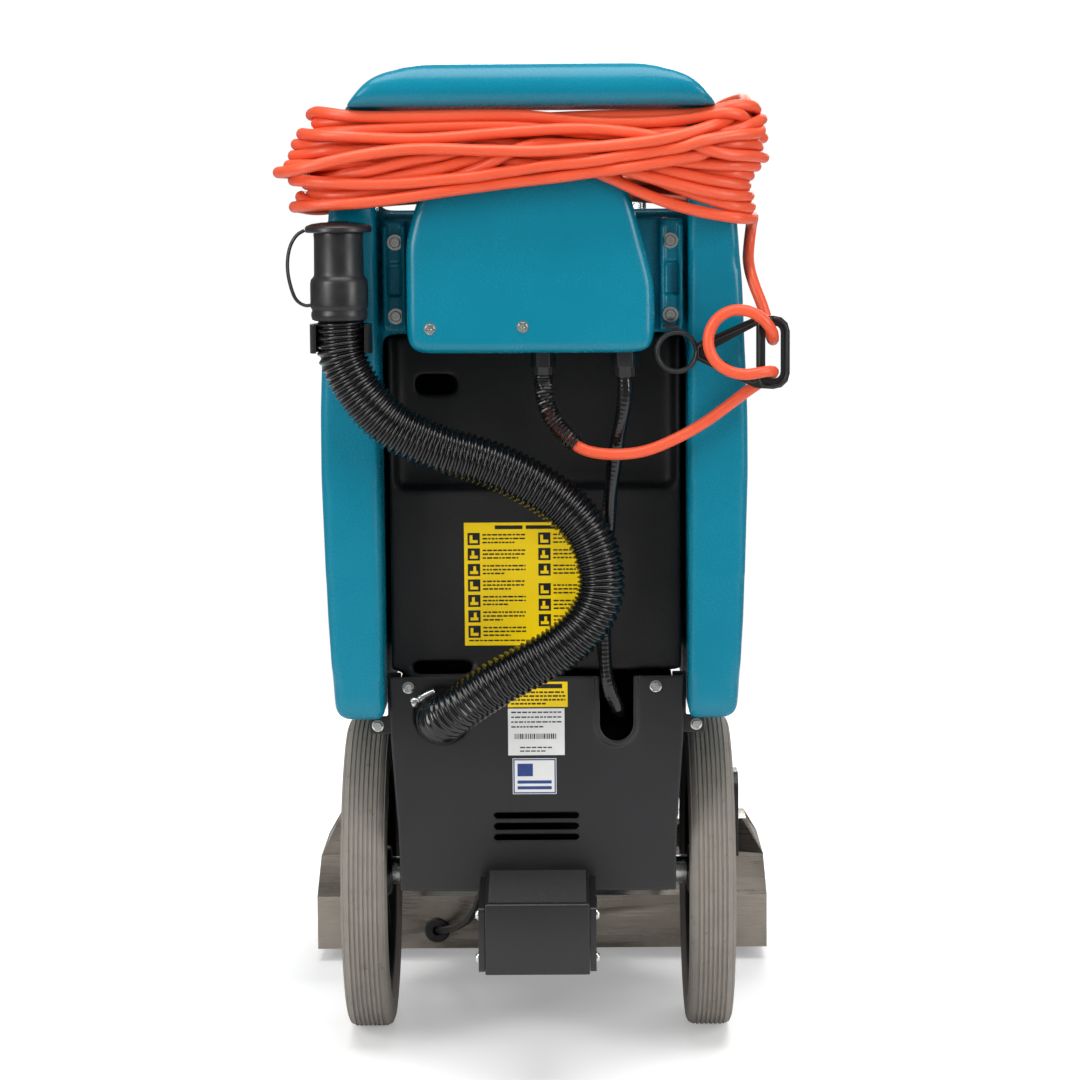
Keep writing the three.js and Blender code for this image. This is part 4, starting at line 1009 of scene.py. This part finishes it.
# %% Sheet steel and small parts
PLAIN = [
    ("folded_chassis", ["chassis"], 0.5, powder_coat, "frame", "black_steel"),
    ("turned_axle", ["axle"], 0.8, zinc, "frame", "zinc"),
    ("pressed_yoke", ["head_yoke"], 0.8, powder_coat, "brush_deck", "black_steel"),
    ("belt_cover", ["belt_guard"], 0.6, powder_coat, "brush_deck", "black_steel"),
    ("left_shoe_arm", ["shoe_arm_left"], 0.6, powder_coat, "frame", "black_steel"),
    ("right_shoe_arm", ["shoe_arm_right"], 0.6, powder_coat, "frame", "black_steel"),
    ("pedal_arms", ["pedal_lever"], 0.6, powder_coat, "pedal", "black_steel"),
    ("stainless_housing", ["brush_housing"], 0.6, stainless, "brush_deck", "stainless"),
    ("stainless_shoe", ["vacuum_shoe"], 0.8, stainless, "frame", "stainless"),
    ("moulded_duct", ["vacuum_duct"], 1.5, black_plastic, "frame", "black_plastic"),
    ("outlet_spigot", ["drain_spigot"], 0.6, black_plastic, "frame", "black_plastic"),
    ("cord_gland_nut", ["cord_gland"], 0.7, black_plastic, "frame", "black_plastic"),
    ("loom_gland_nut", ["loom_gland"], 0.7, black_plastic, "frame", "black_plastic"),
    ("terminal_strip", ["terminal_block"], 0.8, black_plastic, "frame", "black_plastic"),
    ("switch_panel", ["switch_plate"], 0.5, black_plastic, "frame", "black_plastic"),
    ("vacuum_rocker_cap", ["rocker_vacuum"], 0.7, black_plastic, "vacuum_switch", "black_plastic"),
    ("pump_rocker_cap", ["rocker_pump"], 0.7, black_plastic, "pump_switch", "black_plastic"),
    ("brush_rocker_cap", ["rocker_brush"], 0.7, black_plastic, "brush_switch", "black_plastic"),
    ("spray_button_cap", ["spray_button"], 0.8, cord_jacket, "spray_switch", "cord_orange"),
    ("filling_lid", ["solution_lid"], 1.2, teal, "lid", "teal_tank"),
    ("lid_hinge_leaf", ["lid_hinge_bracket"], 0.5, black_plastic, "frame", "black_plastic"),
    ("lid_pin", ["lid_hinge_pin"], 0.4, zinc, "frame", "zinc"),
    ("clear_dome", ["recovery_dome"], 2.2, clear_dome, "dome", "clear_plastic"),
    ("foam_gasket", ["dome_gasket"], 0.8, cuff_rubber, "frame", "black_plastic"),
    ("vacuum_standpipe", ["standpipe"], 0.5, black_plastic, "frame", "black_plastic"),
    ("vacuum_motor_can", ["vacuum_motor"], 1.5, motor_paint, "frame", "motor_metal"),
    ("pump_block", ["solution_pump"], 2.0, pump_paint, "frame", "motor_metal"),
    ("filter_bowl", ["solution_filter"], 1.2, clear_dome, "frame", "clear_plastic"),
    ("brush_motor_can", ["brush_motor"], 1.5, motor_paint, "brush_deck", "motor_metal"),
    ("rotor_pulley", ["motor_pulley"], 0.6, zinc, "motor_rotor", "zinc"),
    ("toothed_belt", ["drive_belt"], 0.5, cuff_rubber, "brush_deck", "black_plastic"),
    ("spray_bar", ["spray_manifold"], 0.6, zinc, "brush_deck", "zinc"),
    ("strap_tongue", ["restraint_strap"], 0.7, cuff_rubber, "frame", "black_plastic"),
    ("hose_clip_moulded", ["hose_clip"], 0.9, black_plastic, "frame", "black_plastic"),
]
for name, nodes, width, material, body, slot_name in PLAIN:
    bevelled(name, nodes, width, material, body)
ball = [(0, -15.5)] + [(15.5 * math.cos(a), 15.5 * math.sin(a))
                       for a in np.linspace(-math.pi / 2, math.pi / 2, 25)[1:-1]] + [(0, 15.5)]
finish_piece("float_ball_moulded", turned("ball", ball, "z", place(45, 90, 613.5), 40), white_vinyl,
             "float", ("float_ball",), 60)
print(len(PLAIN), "small parts")

# %% [markdown]
# The rear cover is one large pressing with a slot, a hose hole and vents. A fine voxel skin keeps
# its face flat and turns every edge over softly. Behind it, an L-shaped flange on each side bolts
# the tank's wing to the chassis and closes the gap beside the cover.

# %% Rear cover and flanges
pressing = moulded(merged("rear_cover"), 1.2, 4)
print("cover", len(pressing.polygons), "faces")
finish_piece("pressed_cover", pressing, powder_coat, "frame", ("rear_cover",), 60)
for sign, side_name in ((-1, "left"), (1, "right")):
    flange = bmesh.new()
    for x0, x1, z0, z1 in ((127.4, 140.5, 314, 372.4), (139, 158, 314, 331)):
        near, far = sorted((sign * x0, sign * x1))
        add_box(flange, place(near, -135, z0), place(far, -132, z1))
    flange = evaluated(flange, [("REMESH", {"mode": "VOXEL", "voxel_size": 0.0009}),
                                ("SMOOTH", {"factor": 0.5, "iterations": 2})])
    finish_piece(f"tank_flange_{side_name}", flange, powder_coat, "frame", (), 50)

# %% [markdown]
# The cord restraint is one casting: a ring, a tapered neck that parts round an eye, and a slotted
# frame. Its edges carry a raised rim on both faces, made here as thin bars that follow the rims.

# %% Cord restraint
mesh = merged("cord_restraint")
bmesh.ops.dissolve_limit(mesh, angle_limit=math.radians(1), verts=mesh.verts, edges=mesh.edges)
casting = evaluated(mesh, [("BEVEL", {"width": 0.0012, "segments": 3, "limit_method": "ANGLE",
                                      "angle_limit": math.radians(40), "use_clamp_overlap": True})])
parts = [(casting, black_plastic)]


def rim_bar(outline, y, radius):
    """A closed bar along an (x, z) outline on one face."""
    loop = places([(x, y, z) for x, z in outline] + [(outline[0][0], y, outline[0][1])])
    return tube_mesh("rim", even_line(loop, 0.0015), radius, 10)


ring_points = [(129.4 + 17.7 * math.cos(a), 678 + 17.7 * math.sin(a))
               for a in np.linspace(0, 2 * math.pi, 49)[:-1]]
frame_points = rounded_outline([
    (228.4, 708.6, 12), (228.4, 645.6, 12), (203, 647.5, 6), (203.4, 706.2, 6)], 5)
eye_points = rounded_outline([(149, 682.6, 1), (149, 673.4, 1), (203, 647.5, 5), (204, 706.2, 5)], 4)
for y in (-230.4, -223.6):
    parts.append((rim_bar(ring_points, y, 0.0016), black_plastic))
    parts.append((rim_bar(frame_points, y, 0.0017), black_plastic))
    parts.append((rim_bar(eye_points, y, 0.0014), black_plastic))
finish_piece("cast_restraint", join_meshes("restraint", parts), black_plastic, "frame",
             ("cord_restraint",), 50)

# %% [markdown]
# The lift pedal is bent plate with a strip of grit tape on its tread. The strip is its own thin
# slab, which follows the slope of the tread.

# %% Lift pedal
pedal = merged("brush_pedal")
bmesh.ops.dissolve_limit(pedal, angle_limit=math.radians(1), verts=pedal.verts, edges=pedal.edges)
pedal = evaluated(pedal, [("BEVEL", {"width": 0.0015, "segments": 3, "limit_method": "ANGLE",
                                     "angle_limit": math.radians(30)})])
tape = bmesh.new()
tread = [(-246.5, 176.9), (-168, 189.0), (-168.1, 189.7), (-246.6, 177.6)]
rows = [[tape.verts.new(place(x, y, z)) for y, z in tread] for x in (-45, 45)]
tape.faces.new(rows[0])
tape.faces.new(rows[1][::-1])
for k in range(4):
    j = (k + 1) % 4
    tape.faces.new((rows[0][k], rows[1][k], rows[1][j], rows[0][j]))
bmesh.ops.recalc_face_normals(tape, faces=tape.faces)
pedal_mesh = join_meshes("pedal", [(pedal, powder_coat), (as_mesh("tape", tape), grit)])
finish_piece("pedal_plate", pedal_mesh, powder_coat, "pedal", ("brush_pedal",), 40)

# %% [markdown]
# Screws repeat, so Geometry Nodes place them: a mesh of loose points says where, one finished
# screw is instanced on each point, turned to face out, and the instances are made real. The same
# tree serves every kind of screw, because the screw is one of its inputs.

# %% Screw tree


def screw_tree():
    """Instances an object on points, turned by one rotation, with one material."""
    tree = bpy.data.node_groups.new("screws on points", "GeometryNodeTree")
    for label, kind in (("Points", "NodeSocketGeometry"), ("Screw", "NodeSocketObject"),
                        ("Facing", "NodeSocketVector"), ("Finish", "NodeSocketMaterial")):
        tree.interface.new_socket(label, in_out="INPUT", socket_type=kind)
    tree.interface.new_socket("Geometry", in_out="OUTPUT", socket_type="NodeSocketGeometry")
    given = add_node(tree, "NodeGroupInput")
    screw = add_node(tree, "GeometryNodeObjectInfo", sockets={"Object": given.outputs["Screw"]})
    placed = add_node(tree, "GeometryNodeInstanceOnPoints", sockets={
        "Points": given.outputs["Points"], "Instance": screw.outputs["Geometry"],
        "Rotation": given.outputs["Facing"]})
    real = add_node(tree, "GeometryNodeRealizeInstances", sockets={"Geometry": placed.outputs[0]})
    coated = add_node(tree, "GeometryNodeSetMaterial", sockets={
        "Geometry": real.outputs[0], "Material": given.outputs["Finish"]})
    add_node(tree, "NodeGroupOutput", sockets={"Geometry": coated.outputs[0]})
    return tree


def through_nodes(work, tree, inputs):
    """The mesh that an object becomes under a node tree whose inputs are set by name."""
    modifier = work.modifiers.new("nodes", "NODES")
    modifier.node_group = tree
    for item in tree.interface.items_tree:
        if item.in_out == "INPUT" and item.name in inputs:
            modifier[item.identifier] = inputs[item.name]
    graph = bpy.context.evaluated_depsgraph_get()
    data = bpy.data.meshes.new_from_object(work.evaluated_get(graph))
    bpy.data.objects.remove(work)
    return data


SCREWS = screw_tree()


def screws(name, screw, points, facing, material, body):
    """One piece that holds a screw at each point (millimetres from the axle)."""
    cloud = bpy.data.meshes.new(name)
    cloud.from_pydata([tuple(place(*p)) for p in points], [], [])
    work = bpy.data.objects.new(name, cloud)
    bpy.context.scene.collection.objects.link(work)
    data = through_nodes(work, SCREWS, {"Screw": screw, "Facing": facing, "Finish": material})
    return finish_piece(name, data, material, body, (), 30)


def hex_prism(mesh, across_mm, z0, z1):
    """A hexagonal head between two heights, with its top corners chamfered."""
    r = across_mm / 2 / math.cos(math.pi / 6)
    rings = []
    for radius, z in ((r, z0), (r, z1 - 0.5), (r * 0.9, z1)):
        rings.append([mesh.verts.new((radius * math.cos(math.pi / 3 * k) / 1000,
                                      radius * math.sin(math.pi / 3 * k) / 1000, z / 1000))
                      for k in range(6)])
    mesh.faces.new(rings[0][::-1])
    mesh.faces.new(rings[-1])
    for low, high in zip(rings, rings[1:]):
        for k in range(6):
            j = (k + 1) % 6
            mesh.faces.new((low[k], low[j], high[j], high[k]))


def screw_object(name, profile, across_mm=None, heights=(0, 0)):
    """A hidden screw to copy from: a turned head, with a hexagon on it if asked."""
    mesh = bmesh.new()
    data = turned(name, profile, "z", Vector((0, 0, 0)), 32)
    mesh.from_mesh(data)
    if across_mm:
        hex_prism(mesh, across_mm, *heights)
    mesh.to_mesh(data)
    mesh.free()
    made = bpy.data.objects.new(name, data)
    made.hide_render = True
    return made


washer_hex = screw_object("washer hex screw", [
    (0, -2), (5.6, -2), (5.8, -0.2), (5.6, 0.6), (4, 1.1), (0, 1.2)], 8.0, (1.0, 5.2))
socket_bolt = screw_object("socket bolt", [
    (0, -2), (7.2, -2), (7.4, 0), (7.2, 1.0), (5.0, 1.2), (4.9, 4.6), (4.2, 5.6), (2.3, 5.8), (2.2, 3.2),
    (0, 3.0)])
pan_screw = screw_object("pan head screw", [
    (0, -2), (5.4, -2), (5.6, 0), (5.5, 0.5), (4.2, 0.7), (4.1, 1.6), (3.4, 2.6), (1.5, 2.9), (1.2, 1.7),
    (0, 1.5)])
OUT_BACK = (math.pi / 2, 0.0, 0.0)
OUT_RIGHT = (0.0, math.pi / 2, 0.0)
OUT_LEFT = (0.0, -math.pi / 2, 0.0)
SCREW_ROWS = (
    ("cover_screws", washer_hex, OUT_BACK, "frame", [(-120, -152.2, 361), (111.5, -152.2, 361)]),
    ("hood_screws", pan_screw, OUT_BACK, "frame", [(-92.5, -232.6, 700.5), (-9, -232.8, 701.7)]),
    ("bracket_bolts", socket_bolt, OUT_BACK, "frame", [
        (-125, -190.8, 777), (125, -190.8, 777), (-125, -190.8, 710), (125, -193.2, 710)]),
    ("flange_bolts", washer_hex, OUT_BACK, "frame", [(-150, -135.2, 322), (150, -135.2, 322)]),
    ("pedal_screws_right", pan_screw, OUT_RIGHT, "pedal", [(54.2, -238, 164), (54.2, -240, 124)]),
    ("pedal_screws_left", pan_screw, OUT_LEFT, "pedal", [(-54.2, -238, 164), (-54.2, -240, 124)]),
    ("yoke_nuts_right", washer_hex, OUT_RIGHT, "brush_deck", [(136.2, 185, 150)]),
    ("yoke_nuts_left", washer_hex, OUT_LEFT, "brush_deck", [(-136.2, 185, 150)]))
for row_name, kind, facing, body, points in SCREW_ROWS:
    screws(row_name, kind, points, facing, zinc, body)
print("screws placed")

# %% [markdown]
# The brush is a dark moulded core with nylon tufts in rows that wind round it. The tufts are cones
# on a helix of points, each turned along its own outward direction, which the points carry as an
# attribute. The pulley and the stub shafts are turned with the core.

# %% Brush
BRUSH_AT = place(0, 322, 48)
TUFT_LENGTH, TUFT_ROOT, TUFT_TIP = 0.0238, 0.0014, 0.0030
TUFT_ROWS, TUFTS_A_ROW, ROOT_RADIUS = 10, 64, 0.023
ROW_HALF, ROW_PITCH = 183, 620


def tuft_tree():
    """Cones on points, each along the point's own outward direction."""
    tree = bpy.data.node_groups.new("tufts on points", "GeometryNodeTree")
    for label, kind in (("Points", "NodeSocketGeometry"), ("Length", "NodeSocketFloat"),
                        ("Tip", "NodeSocketFloat"), ("Finish", "NodeSocketMaterial")):
        tree.interface.new_socket(label, in_out="INPUT", socket_type=kind)
    tree.interface.new_socket("Geometry", in_out="OUTPUT", socket_type="NodeSocketGeometry")
    given = add_node(tree, "NodeGroupInput")
    cone = add_node(tree, "GeometryNodeMeshCone", sockets={
        "Vertices": 6, "Radius Top": given.outputs["Tip"], "Radius Bottom": TUFT_ROOT,
        "Depth": given.outputs["Length"]})
    out = add_node(tree, "GeometryNodeInputNamedAttribute", {"data_type": "FLOAT_VECTOR"}, {
        "Name": "out"})
    facing = add_node(tree, "FunctionNodeAlignRotationToVector", {"axis": "Z"}, {
        "Vector": out.outputs["Attribute"]})
    placed = add_node(tree, "GeometryNodeInstanceOnPoints", sockets={
        "Points": given.outputs["Points"], "Instance": cone.outputs["Mesh"],
        "Rotation": facing.outputs[0]})
    real = add_node(tree, "GeometryNodeRealizeInstances", sockets={"Geometry": placed.outputs[0]})
    coated = add_node(tree, "GeometryNodeSetMaterial", sockets={
        "Geometry": real.outputs[0], "Material": given.outputs["Finish"]})
    add_node(tree, "NodeGroupOutput", sockets={"Geometry": coated.outputs[0]})
    return tree


random.seed(7)
points, outward = [], []
for row in range(TUFT_ROWS):
    for k in range(TUFTS_A_ROW):
        x = -ROW_HALF + 2 * ROW_HALF * k / (TUFTS_A_ROW - 1)
        angle = 2 * math.pi * (row / TUFT_ROWS + x / ROW_PITCH)
        lean = random.uniform(-0.05, 0.05)
        out = Vector((lean, math.cos(angle), math.sin(angle))).normalized()
        points.append(BRUSH_AT + Vector((x / 1000, 0, 0)) + ROOT_RADIUS * Vector((0, out.y, out.z)))
        outward.append(out)
cloud = bpy.data.meshes.new("tufts")
cloud.from_pydata([tuple(p) for p in points], [], [])
cloud.attributes.new("out", "FLOAT_VECTOR", "POINT").data.foreach_set(
    "vector", np.array(outward).ravel())
tufts = bpy.data.objects.new("tufts", cloud)
bpy.context.scene.collection.objects.link(tufts)
tuft_data = through_nodes(tufts, tuft_tree(), {
    "Length": TUFT_LENGTH, "Tip": TUFT_TIP, "Finish": bristle_nylon})
core = [(0, -237), (8, -237), (8, -192), (22, -192), (24, -190), (24, 190), (22, 192), (8, 192),
        (8, 196), (13, 196), (13, 207), (8, 207), (8, 237), (0, 237)]
brush_parts = [(turned("core", core, "x", BRUSH_AT, 40), cuff_rubber), (tuft_data, bristle_nylon)]
finish_piece("nylon_brush", join_meshes("brush", brush_parts), bristle_nylon, "brush",
             ("brush_roller",), 40)
print(len(points), "tufts")

# %% [markdown]
# Labels are thin vinyl with ink a hair above it. The rows of print are short bars of random
# lengths, so they read as text from a distance and say nothing. Pictograms are plain squares with a
# small light shape in them.

# %% Labels
random.seed(11)


def sheet_box(mesh, x0, x1, z0, z1, y, thick):
    add_box(mesh, place(x0, y - thick, z0), place(x1, y, z1))


def text_rows(mesh, x0, x1, z_top, rows, pitch, height, y, thick=0.06):
    """Rows of word-like bars between two sides."""
    for row in range(rows):
        z = z_top - row * pitch
        x = x0
        end = x1 if row < rows - 1 else x0 + (x1 - x0) * random.uniform(0.45, 0.9)
        while x < end - 1.0:
            word = min(random.uniform(1.8, 5.2), end - x)
            sheet_box(mesh, x, x + word, z - height, z, y, thick)
            x += word + 0.9


def label(name, x0, x1, z0, z1, y, base, inks):
    """A label slab at a rear face, with layers of ink: (material, draw function)."""
    base_mesh = bmesh.new()
    sheet_box(base_mesh, x0, x1, z0, z1, y, 0.25)
    layers = [(base_mesh, base)]
    for material, draw in inks:
        ink = bmesh.new()
        draw(ink, y - 0.25)
        layers.append((ink, material))
    whole = join_meshes(name, [(as_mesh("layer", layer), material) for layer, material in layers])
    return finish_piece(name, whole, base, "frame", (), 30)


def instruction_ink(ink, y):
    for x0, x1 in ((-38, -12), (-9, 24), (27, 55)):
        sheet_box(ink, x0, min(x1, 56), 508.3, 511.8, y, 0.06)
    for column, rows in ((-63.5, 7), (2.5, 6)):
        for row in range(rows):
            z = 505 - row * 14.6 - (4 if column > 0 and row > 2 else 0)
            sheet_box(ink, column, column + 11.5, z - 11.5, z, y, 0.06)
            text_rows(ink, column + 14, column + 14 + 40, z - 1.2, 3, 3.6, 1.5, y)
    text_rows(ink, -63, 55, 404, 1, 3, 1.4, y)


def instruction_icons(ink, y):
    for column, rows in ((-63.5, 7), (2.5, 6)):
        for row in range(rows):
            z = 505 - row * 14.6 - (4 if column > 0 and row > 2 else 0)
            sheet_box(ink, column + 2, column + 9.5, z - 9.6, z - 6.8, y - 0.06, 0.05)
            lean = 2 + (row % 3) * 1.6
            sheet_box(ink, column + lean, column + lean + 2.6, z - 7, z - 2.2, y - 0.06, 0.05)


def warning_ink(ink, y):
    sheet_box(ink, -22, 24, 359.5, 363.6, y, 0.06)
    text_rows(ink, -24, 27, 356.6, 4, 3.6, 1.6, y)


def plate_ink(ink, y):
    text_rows(ink, -24, 23, 337.5, 4, 4.6, 1.3, y)
    x = -21.0
    while x < 18:
        wide = random.choice((0.5, 0.8, 1.2))
        sheet_box(ink, x, x + wide, 311.5, 316.5, y, 0.06)
        x += wide + random.choice((0.6, 1.0))
    text_rows(ink, -16, 14, 304, 2, 3.4, 1.2, y)


def sticker_ink(ink, y):
    border = ((-22.4, 17.4, 291.2, 292.4), (-22.4, 17.4, 259.6, 260.8),
              (-22.4, -21.2, 259.6, 292.4), (16.2, 17.4, 259.6, 292.4))
    blocks = ((-18.5, -4, 276, 288), (-18.5, 13.5, 263.5, 266.5), (-18.5, 13.5, 269, 272))
    for x0, x1, z0, z1 in border + blocks:
        sheet_box(ink, x0, x1, z0, z1, y, 0.06)


label("instruction_label", -66.8, 58.6, 398.6, 514.5, -140.15, yellow_vinyl,
      [(black_print, instruction_ink), (yellow_vinyl, instruction_icons)])
label("warning_label", -27, 29, 341.8, 365.7, -152.1, yellow_vinyl, [(black_print, warning_ink)])
label("rating_plate", -27, 26, 296, 340.4, -152.1, white_vinyl, [(black_print, plate_ink)])
label("round_sticker", -23, 18, 259, 293, -152.1, white_vinyl, [(blue_print, sticker_ink)])

# %% [markdown]
# A rubber grommet lines the hole where the brush cable enters the housing.

# %% Grommet
grommet = [(5.2, -3.5), (12.0, -3.5), (13.2, -2.4), (13.2, -0.4), (9.2, 0), (9.0, 2.0), (11.5, 2.2),
           (11.5, 4.5), (5.2, 4.5)]
finish_piece("cable_grommet", turned("grommet", grommet, "y", place(-112, 236, 34), 40), cuff_rubber,
             "brush_deck", (), 40)
